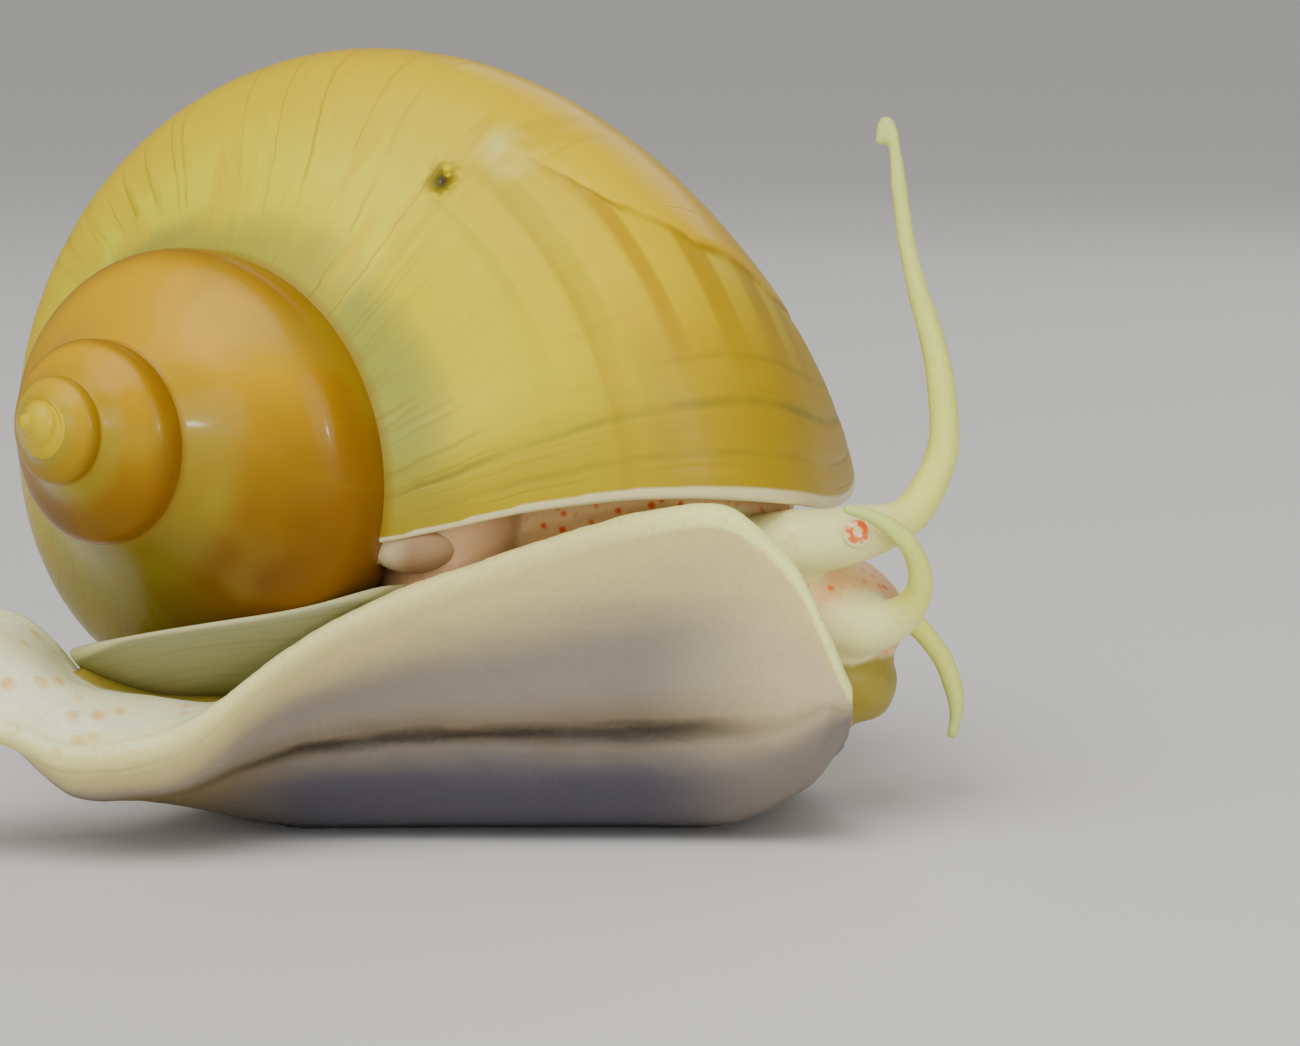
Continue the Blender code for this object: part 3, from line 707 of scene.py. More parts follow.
    def streaked(self, at: GrowthLines, colour: Link, thread: Value, last: Value) -> Socket:
        """Draws brown threads and pale streaks along the growth lines.

        Args:
            at: The shell's measures.
            colour: The colour so far.
            thread: 1 on the threads.
            last: 1 on the last whorl.

        Returns:
            The colour's socket.
        """
        older = 1.0 - at.young * 0.6
        shown = (0.10 + 0.30 * at.share.step(0.34, 0.05)) * older
        shown = shown + at.turn.step(-0.17, -0.24) * 0.14
        colour = at.shader.mix(thread * (shown * last + 0.02), colour, self.line)
        paler = at.fine.step(0.42, 0.24) * 0.18 + at.broad.step(0.42, 0.28) * 0.2
        paler = paler * (0.12 + 0.88 * last) * at.height.step(9.0, 22.0)
        return at.shader.mix(paler * older, colour, self.ivory)

    def mended(self, at: GrowthLines, colour: Link) -> Socket:
        """Draws the mended break: its brown line, a pale bead and a dark pit.

        Args:
            at: The shell's measures.
            colour: The colour so far.

        Returns:
            The colour's socket.
        """
        shader, turn, share = at.shader, at.turn, at.share
        line = at.past.bell(0.0, 0.0034) * share.step(0.245, 0.29) * share.step(0.80, 0.62)
        colour = shader.mix(line * (0.15 + at.clouds.step(0.35, 0.6) * 0.55), colour, self.line)
        bead_turn, bead_share = self.bead_at
        bead = turn.bell(bead_turn, 0.017) * share.bell(bead_share, 0.035)
        colour = shader.mix(bead * at.patches.step(0.25, 0.55) * 0.80, colour, self.bead)
        pit_turn, pit_share = self.pit_at
        pit = turn.bell(pit_turn, 0.012) * share.bell(pit_share, 0.03)
        return shader.mix(pit * shader.noise(0.6, 1.0).step(0.34, 0.52), colour, self.pit)

    def lip_edge(self, at: GrowthLines, colour: Link) -> Socket:
        """Draws the resting lines behind the lip and the white lip itself.

        Args:
            at: The shell's measures.
            colour: The colour so far.

        Returns:
            The colour's socket.
        """
        rest = at.turn * 0.0
        for place, width, depth in self.rests:
            rest = rest.larger(at.turn.bell(place, width) * depth)
        colour = at.shader.mix(rest * at.clouds.step(0.36, 0.56) * 0.65, colour, self.olive)
        return at.shader.mix(at.turn.step(*self.lip_turns), colour, self.lip)


@dataclass(frozen=True)
class SkinFinish:
    """Moist, slightly translucent flesh, coloured by the part of the body.

    Bands are places across the foot or its rim, and reaches are places along the body or a
    feeler, each given as where a colour starts and where it is full. The sole's bands paint light
    and shade on its turned-up flap, and the rim's band a painted highlight.

    Attributes:
        wrinkle: Length and height of a wrinkle, in millimetres.
        wander: How far wrinkles shift the bands.
        crease_band: Place and half width of the crease.
        tail_spots: Cell size of the tail's spots in millimetres, and a spot's share of it.
        small_dots: The same for the dots of neck, snout and feelers.
        rim_dots: The same for the dots of the foot's rim.
    """

    dorsal: Colour = (0.72, 0.66, 0.34)
    tail: Colour = (0.95, 1.0, 0.64)
    spot: Colour = (0.90, 0.56, 0.16)
    # The sole's colours paint light and shade on its concave, turned-up flap: the margin is its own
    # cream with painted light, the middle its own lavender grey darkened as painted shade, and the front
    # painted lighter.
    margin: Colour = (0.74, 0.61, 0.25)
    sole: Colour = (0.27, 0.225, 0.18)
    sole_front: Colour = (0.62, 0.51, 0.30)
    # Rim: the margin's own pale line, with a painted highlight along its rounded edge.
    rim: Colour = (0.98, 1.0, 0.36)
    # Shade, crease and the colour below the crease are painted shade; shade also tints the skin's fine
    # grain.
    shade: Colour = (0.17, 0.115, 0.035)
    crease: Colour = (0.030, 0.020, 0.010)
    sole_low_shade: Colour = (0.070, 0.066, 0.082)
    neck: Colour = (0.95, 0.64, 0.28)
    dot: Colour = (0.90, 0.11, 0.008)
    snout: Colour = (0.94, 0.60, 0.24)
    blush: Colour = (0.90, 0.48, 0.24)
    # Lips: their own yellow-green darkened as painted shade under the snout; the cushion under the horn
    # plate takes it as painted shade too.
    lips: Colour = (0.38, 0.29, 0.04)
    root: Colour = (0.93, 0.90, 0.38)
    feeler: Colour = (0.86, 0.88, 0.18)
    feeler_tip: Colour = (0.66, 0.80, 0.22)
    # Collar: the mantle's flesh, darkened as painted shade inside the shell's mouth.
    collar: Colour = (0.58, 0.35, 0.17)
    pale: Colour = (0.70, 0.66, 0.48)
    # Painted shade under the foot's front, lighter than below the crease further back.
    front_low_shade: Colour = (0.22, 0.18, 0.15)
    front_reach: Row = (12.0, 21.0)
    wrinkle: Row = (9.0, 1.6)
    wander: float = 0.16
    # Bands across the sole: the lit margin, painted shade above the crease, painted shade in the crease
    # and below it.
    margin_band: Row = (0.05, 0.62)
    shade_band: Row = (0.74, 1.10)
    crease_band: Row = (1.14, 0.13)
    low_shade_band: Row = (1.08, 1.50)
    # Band of the rim's painted highlight.
    rim_highlight_band: Row = (0.70, 0.97)
    tail_spots: Row = (1.5, 0.40)
    small_dots: Row = (0.85, 0.36)
    rim_dots: Row = (0.6, 0.34)
    root_reach: Row = (0.24, 0.40)
    tip_reach: Row = (0.45, 1.0)
    rough: float = 0.33
    refraction: float = 1.30
    glow: float = 0.25
    glow_reach: Row = (1.0, 0.6, 0.35)
    glow_scale: float = 0.0010
    relief: float = 0.10

    def make(self) -> bpy.types.Material:
        """Builds the material on the skin's measures.

        Returns:
            The material.
        """
        shader = Shader("moist_skin")
        sole = shader.mark(Mark.SOLE).step(0.15, 0.55)
        clouds = shader.noise(size=4.0, detail=3.0)
        fine = shader.noise(size=0.5, detail=3.0)
        grain = shader.noise(size=0.22, detail=2.0)
        small = shader.dots(*self.small_dots)
        colour = shader.mix(sole, self.upper(shader, clouds), self.under(shader))
        colour = self.rimmed(shader, colour, clouds)
        neck = shader.mix(small * clouds.step(0.28, 0.45), self.neck, self.dot)
        colour = shader.mix(shader.mark(Mark.NECK), colour, neck)
        snout = shader.mix(clouds.step(0.42, 0.65) * 0.6, self.snout, self.blush)
        snout = shader.mix(small * clouds.step(0.40, 0.55) * 0.8, snout, self.dot)
        colour = shader.mix(shader.mark(Mark.SNOUT), colour, snout)
        # Lips: their own colour darkened as painted shade.
        colour = shader.mix(shader.mark(Mark.LIPS), colour, self.lips)
        feelers = self.feelers(shader, clouds, small)
        colour = shader.mix(shader.mark(Mark.FEELER), colour, feelers)
        # Collar: mantle colour darkened as painted shade inside the shell's mouth.
        colour = shader.mix(shader.mark(Mark.COLLAR), colour, self.collar)
        colour = shader.mix(fine.step(0.60, 0.76) * (1.0 - sole) * 0.12, colour, self.pale)
        colour = shader.mix(grain.step(0.58, 0.40) * 0.06, colour, self.shade)
        shader.bump(fine * 0.5 + clouds * 0.3 + grain * 0.2, self.relief, 0.55)
        shader.set_surface({
            "Base Color": colour,
            "Roughness": self.rough + fine * 0.16,
            "IOR": self.refraction,
            "Subsurface Weight": self.glow,
            "Subsurface Radius": self.glow_reach,
            "Subsurface Scale": self.glow_scale,
        })
        return shader.material

    def upper(self, shader: Shader, clouds: Value) -> Socket:
        """Colour of the foot's upper side, spotted on the tail.

        Args:
            shader: The material's shader.
            clouds: Cloudy noise.

        Returns:
            The colour's socket.
        """
        spots = shader.dots(*self.tail_spots)
        front = shader.mix(clouds.step(0.35, 0.65) * 0.5, self.dorsal, self.tail)
        rear = shader.mix(clouds.step(0.35, 0.6) * 0.35, self.tail, self.margin)
        rear = shader.mix((spots * 0.9).smaller(clouds.step(0.25, 0.5)), rear, self.spot)
        return shader.mix(shader.mark(Mark.TAIL), front, rear)

    def under(self, shader: Shader) -> Socket:
        """Colour of the sole, with painted light and shade: pale at the turned-up margin, painted shade
        in the crease and below.

        Args:
            shader: The material's shader.

        Returns:
            The colour's socket.
        """
        mix = shader.mix
        fold = shader.mark(Mark.FOLD)
        tail = shader.mark(Mark.TAIL)
        streaks = shader.noise(1.0, 3.0, self.stretched(shader, *self.wrinkle))
        wander = fold + (streaks - 0.5) * self.wander
        front = shader.measured("X").step(*self.front_reach)
        middle = mix(front, self.sole, self.sole_front)
        # The margin painted lighter where the flap turns up to the light, the middle darker as painted
        # shade.
        colour = mix(wander.step(*self.margin_band), self.margin, middle)
        colour = mix(tail * wander.step(0.9, 0.3) * 0.7, colour, self.margin)
        shaded = wander.step(*self.shade_band) * (0.50 + tail * 0.5) * (1.0 - front * 0.6)
        colour = mix(shaded, colour, self.shade)
        # Painted shade in the crease.
        crease = wander.bell(*self.crease_band) * 0.95
        colour = mix(crease * (1.0 - tail) * (1.0 - front * 0.75), colour, self.crease)
        # Painted shade below the crease, lighter under the front.
        low = mix(front, self.sole_low_shade, self.front_low_shade)
        colour = mix(wander.step(*self.low_shade_band) * (1.0 - tail * 0.8), colour, low)
        return mix(tail * fold.step(0.9, 1.5) * 0.6, colour, self.shade)

    def rimmed(self, shader: Shader, colour: Link, clouds: Value) -> Socket:
        """Draws the foot's pale, dotted margin, with a painted highlight along its rounded edge.

        Args:
            shader: The material's shader.
            colour: The colour so far.
            clouds: Cloudy noise.

        Returns:
            The colour's socket.
        """
        dotted = shader.dots(*self.rim_dots) * clouds.step(0.40, 0.6) * 0.5
        edge = shader.mix(dotted, self.rim, self.spot)
        # Painted highlight along the margin's rounded edge, stronger towards the head.
        towards_head = 0.3 + shader.measured("X").step(10.0, 17.0) * 0.7
        edge_highlight = shader.mark(Mark.RIM).step(*self.rim_highlight_band)
        return shader.mix(edge_highlight * towards_head, colour, edge)

    def feelers(self, shader: Shader, clouds: Value, small: Value) -> Socket:
        """Colour of tentacles and palps, from the flushed root to the greenish tip.

        Args:
            shader: The material's shader.
            clouds: Cloudy noise.
            small: 1 in small dots.

        Returns:
            The colour's socket.
        """
        reach = shader.mark(Mark.ALONG)
        flushed = small * clouds.step(0.48, 0.6) * 0.5 + clouds.step(0.5, 0.7) * 0.2
        root = shader.mix(flushed, self.root, self.blush)
        feeler = shader.mix(reach.step(*self.root_reach), root, self.feeler)
        return shader.mix(reach.step(*self.tip_reach), feeler, self.feeler_tip)

    @staticmethod
    def stretched(shader: Shader, length: float, height: float) -> Socket:
        """The place in the frame, drawn out along x for wrinkles.

        Args:
            shader: The material's shader.
            length: Size of a wrinkle along x, in millimetres.
            height: Its size across, in millimetres.

        Returns:
            The vector's socket.
        """
        along, across = 1.0 / (length * MM), 1.0 / (height * MM)
        scale = {0: shader.place(), 1: (along, across, across)}
        return shader.node("ShaderNodeVectorMath", {"operation": "MULTIPLY"}, scale).outputs[0]


@dataclass(frozen=True)
class HornFinish:
    """Greenish grey horn with growth rings, pale along its edge."""

    horn: Colour = (0.25, 0.24, 0.10)
    dark: Colour = (0.14, 0.11, 0.025)
    edge: Colour = (0.52, 0.50, 0.22)
    rough: float = 0.38
    relief: float = 0.05

    def make(self) -> bpy.types.Material:
        """Builds the material on the plate's growth measure.

        Returns:
            The material.
        """
        shader = Shader("horn_plate")
        growth = shader.mark(Mark.GROWTH)
        wander = shader.noise(3.0, 2.0)
        rings = shader.noise(1.0, 2.0, shader.join(growth * 26.0 + wander * 1.2, 0.0))
        colour = shader.mix(rings.step(0.42, 0.70) * 0.25, self.horn, self.dark)
        colour = shader.mix(growth.step(0.90, 0.99), colour, self.edge)
        shader.bump(rings, self.relief, 0.5)
        shader.set_surface({"Base Color": colour, "Roughness": self.rough + rings * 0.12})
        return shader.material


@dataclass(frozen=True)
class EyeFinish:
    """Wet eye: a pale middle in a broken orange-red ring."""

    skin: Colour = (0.93, 0.90, 0.40)
    pale: Colour = (0.94, 0.66, 0.34)
    ring: Colour = (0.90, 0.16, 0.012)
    rough: float = 0.14
    coat: float = 0.3
    coat_rough: float = 0.03

    def make(self) -> bpy.types.Material:
        """Builds the material on the distance from the eye's middle.

        Returns:
            The material.
        """
        shader = Shader("wet_eye")
        outward = shader.mark(Mark.OUTWARD)
        broken = shader.noise(0.55, 1.0)
        ring = outward.bell(0.54, 0.40).step(0.0, 0.75) * broken.step(0.34, 0.50)
        colour = shader.mix(outward.step(0.50, 0.90), self.pale, self.skin)
        colour = shader.mix(ring, colour, self.ring)
        shader.set_surface({
            "Base Color": colour,
            "Roughness": self.rough,
            "Coat Weight": self.coat,
            "Coat Roughness": self.coat_rough,
        })
        return shader.material


@dataclass(frozen=True)
class FloorFinish:
    """Plain pale floor."""

    pale: Colour = (0.80, 0.79, 0.77)
    rough: float = 0.6

    def make(self) -> bpy.types.Material:
        """Builds the plain material.

        Returns:
            The material.
        """
        shader = Shader("pale_floor")
        shader.set_surface({"Base Color": self.pale, "Roughness": self.rough})
        return shader.material


@dataclass(frozen=True)
class Spiral:
    """The right-handed spiral that the shell grows on, and the outline that it sweeps.

    Depth runs down the axis from the apex, and share along the outline from the suture.

    Attributes:
        lag: How the growth line falls back with the share: per share, its square and its cube.
        suture_root: Radius and depth of the point that closes the outline behind the suture.
        fitted: Turns over which a whorl takes the width that meets the next suture.
        fading: Turns over which the innermost whorl starts from nothing.
        solid_depths: Depths of the whole whorl's points beside the axis.
        mouth_depths: Depths of the mouth's points beside the pillar.
        mouth_top: Distance from the pillar, and depth, of the mouth's top.
        mouth_share: Shares of the outline where the mouth starts and ends.
        outline: Radius and depth at the lip, from the suture to the base.
    """

    apex: Row = (-32.39, -17.84, 23.63)
    heading: float = math.radians(234.87)
    tilt: float = math.radians(5.72)
    lip_angle: float = math.radians(333.85)
    rate: float = 0.8778
    slowing: float = 0.0762
    descent_slowing: float = 0.037
    nucleus_turn: float = -3.0
    nucleus_taper: float = 0.5
    lag: Row = (-0.4624, 1.1234, -0.8512)
    straight_from: float = 0.7
    axis_clear: float = 0.4
    suture_root: Row = (10.9, 14.9)
    pillar: float = 4.2
    fitted: Row = (-0.85, -1.15)
    fading: Row = (-4.5, -4.1)
    solid_depths: Row = (52.0, 42.0, 32.0, 22.0)
    mouth_depths: Row = (44.0, 36.0, 28.0)
    mouth_top: Row = (1.0, 21.0)
    mouth_share: Row = (0.03, 0.96)
    widest: int = 4
    curve_points: int = 641
    search_points: int = 240
    outline: tuple[Row, ...] = (
        (12.3, 16.3), (17.4, 21.9), (22.8, 25.5), (27.1, 29.4), (27.5, 36.2),
        (24.0, 45.6), (18.6, 55.3), (11.5, 58.3), (2.7, 54.0),
    )

    def growth(self, turn: np.ndarray) -> np.ndarray:
        """Size of the whorl against its size at the lip.

        Args:
            turn: Turns, 0 at the lip and falling inwards.

        Returns:
            The sizes.
        """
        inner = np.minimum(turn - self.nucleus_turn, 0.0)
        outer = np.maximum(turn, self.nucleus_turn)
        rate = self.rate + 2.0 * self.slowing * self.nucleus_turn
        spread = self.rate * outer + self.slowing * outer**2
        return np.exp(spread + rate * inner - self.nucleus_taper * inner**2)

    def descent(self, turn: np.ndarray) -> np.ndarray:
        """How far the suture has come down the axis, against its place at the lip."""
        return np.exp(self.rate * turn + self.descent_slowing * turn**2)

    def girth(self, turn: np.ndarray) -> np.ndarray:
        """Scale of the section beyond its suture; the next whorl's suture meets its widest line.

        Args:
            turn: Turns, 0 at the lip.

        Returns:
            The scales, against the section at the lip.
        """
        size = self.growth(turn)
        root, widest = self.outline[0][0], self.outline[self.widest][0]
        fitted = root * (self.growth(turn + 1.0) - size) / (widest - root)
        size = size + (fitted - size) * smooth_step(*self.fitted, turn)
        return size * smooth_step(*self.fading, turn)

    def lag_at(self, share: np.ndarray) -> np.ndarray:
        """How far, in turns, the growth line has fallen back.

        Args:
            share: Shares of the outline.

        Returns:
            The turns.
        """
        first, second, third = self.lag
        bent = np.minimum(share, self.straight_from)
        slope = first + 2.0 * second * self.straight_from + 3.0 * third * self.straight_from**2
        return first * bent + second * bent**2 + third * bent**3 + slope * (share - bent)

    def profile(
        self, count: int, offset: float, start: float = 0.0, end: float = 1.0
    ) -> np.ndarray:
        """Walks along the outline, moved outwards.

        Args:
            count: How many points.
            offset: How far outwards.
            start: Share of the outline where it starts.
            end: Share where it ends.

        Returns:
            Rows of radius, depth and share.
        """
        knots = np.asarray(self.outline, float)
        lengths = np.concatenate([[0.0], np.cumsum(np.linalg.norm(np.diff(knots, axis=0), axis=1))])
        dense_places = np.linspace(0, len(knots) - 1, self.curve_points)
        dense = smooth_through(knots, dense_places)
        share = np.interp(dense_places, np.arange(len(knots)), lengths / lengths[-1])
        tangent = np.gradient(dense, axis=0)
        tangent /= np.linalg.norm(tangent, axis=1)[:, None]
        moved = dense + offset * np.stack([tangent[:, 1], -tangent[:, 0]], axis=1)
        wanted = np.linspace(start, end, count)
        radius = np.interp(wanted, share, moved[:, 0])
        depth = np.interp(wanted, share, moved[:, 1])
        return np.stack([radius, depth, wanted], axis=1)

    def closed(self, outer: np.ndarray, inner_points: Sequence[Row]) -> np.ndarray:
        """Closes a profile through inner points, from the base back to the suture."""
        shares = np.linspace(outer[-1, 2], outer[0, 2], len(inner_points) + 2)[1:-1]
        return np.vstack([outer, np.column_stack([np.asarray(inner_points, float), shares])])

    def solid_outline(self, grow: float, count: int = 72) -> np.ndarray:
        """Outline of the whole whorl, down to the axis."""
        inner = [(self.axis_clear, depth) for depth in self.solid_depths]
        return self.closed(self.profile(count, grow), inner + [self.suture_root])

    def mouth_outline(self, inset: float, count: int = 72) -> np.ndarray:
        """Outline of the space inside the last whorl, beside the pillar.

        Args:
            inset: How far inside the outer outline.
            count: How many points follow that outline.

        Returns:
            Rows of radius, depth and share.
        """
        pillar = self.pillar + inset
        top_out, top_depth = self.mouth_top
        inner = [(pillar, depth) for depth in self.mouth_depths] + [(pillar + top_out, top_depth)]
        return self.closed(self.profile(count, -inset, *self.mouth_share), inner)

    def ring(self, outline: np.ndarray, turn: float) -> np.ndarray:
        """The outline at one turn of the spiral, in the snail's axes.

        Args:
            outline: Rows of radius, depth and share.
            turn: The growth line's turn.

        Returns:
            The ring's points.
        """
        radius, depth, share = outline.T
        lagged = turn + self.lag_at(share)
        size, girth = self.growth(lagged), self.girth(lagged)
        angle = self.lip_angle - 2.0 * math.pi * lagged
        root, suture = self.outline[0]
        reach = np.minimum(radius, root) * size + np.maximum(radius - root, 0.0) * girth
        height = -(suture * self.descent(lagged) + (depth - suture) * girth)
        local = np.stack([reach * np.cos(angle), reach * np.sin(angle), height], axis=1)
        return self.to_snail(local)

    def turning(self) -> np.ndarray:
        """Works out the shell's own axes in the snail's axes.

        Returns:
            The turning matrix.
        """
        lean = math.pi / 2.0 - self.tilt
        spin = self.heading + math.pi / 2.0
        along, across = math.cos(lean), math.sin(lean)
        about_x = np.array([[1, 0, 0], [0, along, -across], [0, across, along]])
        along, across = math.cos(spin), math.sin(spin)
        about_z = np.array([[along, -across, 0], [across, along, 0], [0, 0, 1]])
        return about_z @ about_x

    def to_snail(self, local: np.ndarray) -> np.ndarray:
        """Turns points from the shell's axes, apex at the origin, into the snail's."""
        return local @ self.turning().T + np.asarray(self.apex)

    def to_shell(self, points: np.ndarray) -> np.ndarray:
        """Turns points from the snail's axes into the shell's."""
        return (points - np.asarray(self.apex)) @ self.turning()

    def locate(
        self, points: np.ndarray, near: np.ndarray
    ) -> tuple[np.ndarray, np.ndarray, np.ndarray]:
        """Finds the turn and share of points on the spiral.

        Args:
            points: Points in the snail's axes.
            near: For each point, a turn within half a turn of its own.

        Returns:
            Turn about the axis, share of the outline, and distance from the outline.
        """
        local = self.to_shell(points)
        angle = np.arctan2(local[:, 1], local[:, 0])
        turn = (self.lip_angle - angle) / (2.0 * math.pi)
        turn = turn + np.round(near - turn)
        size, girth = self.growth(turn), np.maximum(self.girth(turn), 1e-4)
        root, suture = self.outline[0]
        reach = np.hypot(local[:, 0], local[:, 1])
        radius = np.where(reach < root * size, reach / size, root + (reach - root * size) / girth)
        depth = suture + (-local[:, 2] - suture * self.descent(turn)) / girth
        outline = self.profile(self.search_points, 0.0)
        best = np.full(len(points), 1e9)
        share = np.zeros(len(points))
        for row in outline:
            far = np.hypot(radius - row[0], depth - row[1])
            closer = far < best
            best[closer] = far[closer]
            share[closer] = row[2]
        return turn, share, best * size


@dataclass
class Shell:
    """The shell: whorls joined into one closed piece, its mouth hollowed behind a rounded lip.

    Attributes:
        joints: Turns where one length of whorl meets the next, from the lip inwards.
        rings: Rings in each length.
        points: Points along the outer outline of each length.
        core: Depth and radius of the spindle near the apex.
        core_end: Depth and radius at its other end.
        scar: Share and turn of points on the mended break.
        lip_bends: Angles of the rings that round the lip, in degrees.
        ridges: Heights of the low, the fine and the crossing growth ridges.
        knot: Turn, its width, share, its width, and height of the knot on the break.
        pit: The same for the pit beside it.
        keel: Turn, width and height of the keel between pit and suture.
        rests: Turn, width and depth of each resting line.
        callus: Centre and half sizes of the pad on the pillar's side of the mouth.
    """

    spiral: Spiral = field(default_factory=Spiral)
    wall: float = 0.85
    lip_round: float = 0.35
    mouth_depth: float = 0.24
    mouth_ahead: float = 0.03
    joints: tuple[float, ...] = (0.0, -0.55, -1.5, -2.45, -3.4, -4.3)
    rings: tuple[int, ...] = (250, 260, 130, 80, 60)
    points: tuple[int, ...] = (110, 84, 60, 48, 40)
    tuck: float = 0.6
    tuck_turn: float = 0.03
    sunk: float = 0.004
    core: tuple[Row, ...] = (
        (0.05, 0.12), (0.12, 0.30), (0.25, 0.42), (0.45, 0.50), (0.65, 0.60), (0.85, 0.82),
        (1.10, 1.10), (1.40, 1.22), (1.80, 1.20), (2.40, 1.10), (3.20, 1.02), (4.0, 1.0),
    )
    core_end: Row = (41.0, 1.2)
    scar: tuple[Row, ...] = (
        (0.0, -0.170), (0.19, -0.166), (0.25, -0.147), (0.27, -0.130), (0.29, -0.108),
        (0.36, -0.088), (0.50, -0.082), (1.0, -0.080),
    )
    lip_bends: Row = (30.0, 60.0, 88.0)
    hollow_rings: int = 60
    core_rings: int = 49
    ridges: Row = (0.045, 0.028, 0.024)
    scar_step: float = 0.24
    scar_furrow: float = 0.10
    knot: Row = (-0.150, 0.011, 0.250, 0.024, 0.40)
    pit: Row = (-0.166, 0.006, 0.185, 0.014, -0.45)
    keel: Row = (-0.156, 0.022, 0.26)
    rests: tuple[Row, ...] = ((-0.031, 0.0022, 0.06), (-0.014, 0.002, 0.04))
    merge_near: float = 0.012
    least_edge: float = 0.004
    callus_margin: float = 0.05
    pad_sides: int = 32
    pad_rings: int = 20
    sharp_edge: float = math.radians(40.0)
    callus: tuple[Row, Row] = ((-12.6, -9.9, 16.0), (2.3, 1.3, 1.3))
    mouth_back: float = -18.0
    core_sides: int = 40
    inside_from: float = 0.72
    seed: float = 4.0

    def past_scar(self, turn: np.ndarray, share: np.ndarray) -> np.ndarray:
        """Turns grown since the mended break, below 0 on the older shell."""
        shares, turns = np.array(self.scar).T
        return turn - np.interp(share, shares, turns)

    def relief(self, turn: float, share: np.ndarray) -> np.ndarray:
        """How far growth ridges and the scar stand out, in millimetres at the lip's size.

        Args:
            turn: The growth line's turn.
            share: Shares of the outline.

        Returns:
            One height for each share.
        """
        low = noise.noise(Vector((turn * 17.0, self.seed, 0.0)))
        fine = noise.noise(Vector((turn * 61.0, self.seed, 3.0)))
        cross = np.array([noise.noise(Vector((turn * 40.0, s * 7.0, 9.0))) for s in share])
        height = sum(top * wave for top, wave in zip(self.ridges, (low, fine, cross)))
        height *= smooth_step(0.0, 0.05, share) * (0.2 + 0.8 * step_at(-0.85, -0.65, turn))
        past = self.past_scar(turn, share)
        broken = smooth_step(0.20, 0.27, share) * smooth_step(0.78, 0.55, share)
        fading = smooth_step(0.004, -0.002, past) * np.exp(np.minimum(past, 0.0) / 0.05)
        height += (self.scar_step * fading - self.scar_furrow * hump(past, 0.0, 0.0035)) * broken
        for turn_at, turn_width, share_at, share_width, top in (self.knot, self.pit):
            height += top * hump(turn, turn_at, turn_width) * hump(share, share_at, share_width)
        place, width, top = self.keel
        keel = smooth_step(0.30, 0.16, share) * smooth_step(0.015, 0.10, share)
        height += top * hump(turn, place, width) * keel
        groove = sum(depth * hump(turn, place, width) for place, width, depth in self.rests)
        return height - groove * smooth_step(0.02, 0.10, share)

    def whorl(self, index: int) -> Solid:
        """One length of whorl, its ends tucked inside its neighbours.

        Args:
            index: 0 for the length at the lip, rising inwards.

        Returns:
            The closed length.
        """
        last, first = self.joints[index : index + 2]
        count = self.points[index]
        outline = self.spiral.solid_outline(0.0, count)
        outward = self.spiral.solid_outline(1.0, count) - outline
        tucked = self.spiral.solid_outline(-self.tuck, count)

        def ring_at(turn: float, offset: float = 0.0) -> np.ndarray:
            """One ring with its relief."""
            height = (self.relief(min(turn, 0.0), outline[:, 2]) + offset)[:, None]
            return self.spiral.ring(outline + height * outward, turn)

        rings = [ring_at(turn) for turn in np.linspace(first, last, self.rings[index] + 1)]
        if index < len(self.rings) - 1:
            rings.insert(0, self.spiral.ring(tucked, first - self.tuck_turn))
        if index > 0:
            rings[-1] = ring_at(last + self.tuck_turn / 12.0, -self.sunk)
        else:
            around = 2.0 * math.pi * self.spiral.outline[self.spiral.widest][0]
            for bend in np.radians(self.lip_bends):
                ahead = self.lip_round * math.sin(bend) / around
                rings.append(ring_at(ahead, -self.lip_round * (1.0 - math.cos(bend))))
        return loft(rings)

    def hollow(self) -> Solid:
        """The space inside the mouth.

        Returns:
            The closed space.
        """
        outline = self.spiral.mouth_outline(self.wall)
        turns = np.linspace(-self.mouth_depth, self.mouth_ahead, self.hollow_rings)
        return loft([self.spiral.ring(outline, turn) for turn in turns])

    def pillar(self) -> Solid:
        """The spindle up the middle of the spiral, with the nucleus at its tip.

        Returns:
            The closed spindle.
        """
        turns = ring_turns(self.core_sides)
        rings = []
        rows = smooth_through(self.core, np.linspace(0.0, len(self.core) - 1.0, self.core_rings))
        for depth, radius in np.vstack([rows, self.core_end]):
            flat = np.full(self.core_sides, -depth)
            local = np.stack([radius * np.cos(turns), radius * np.sin(turns), flat], axis=1)
            rings.append(self.spiral.to_snail(local))
        return loft(rings)

    def pad(self, name: str, centre: Row, reach: Row) -> bpy.types.Object:
        """A smooth ball of shell, pressed to three half sizes.

        Args:
            name: Its name.
            centre: Where it sits.
            reach: Half sizes along x, y and z.

        Returns:
            The closed pad, still in millimetres.
        """
        bpy.ops.object.select_all(action="DESELECT")
        bpy.ops.mesh.primitive_uv_sphere_add(
            segments=self.pad_sides, ring_count=self.pad_rings, radius=1.0, location=centre
        )
        ball = bpy.context.view_layer.objects.active
        ball.name = name
        ball.scale = reach
        bpy.ops.object.transform_apply(location=True, rotation=True, scale=True)
        return ball

    def build(self) -> bpy.types.Object:
        """Joins the lengths, hollows the mouth and marks the spiral on the surface.

        Returns:
            The finished shell.
        """
        piece = self.whorl(0).to_object("shell_spiral")
        combine(piece, [self.hollow().to_object("hollow")], "DIFFERENCE")
        inner = [self.whorl(i).to_object(f"whorl_{i}") for i in range(1, len(self.rings))]
        inner.append(self.pad("callus", *self.callus))
        combine(piece, inner + [self.pillar().to_object("pillar")], "UNION")
        self.keep_largest(piece)
        self.mark(piece.data)
        settle(piece, self.sharp_edge)
        piece.data.materials.clear()
        piece.data.materials.append(ShellFinish().make())
        return piece

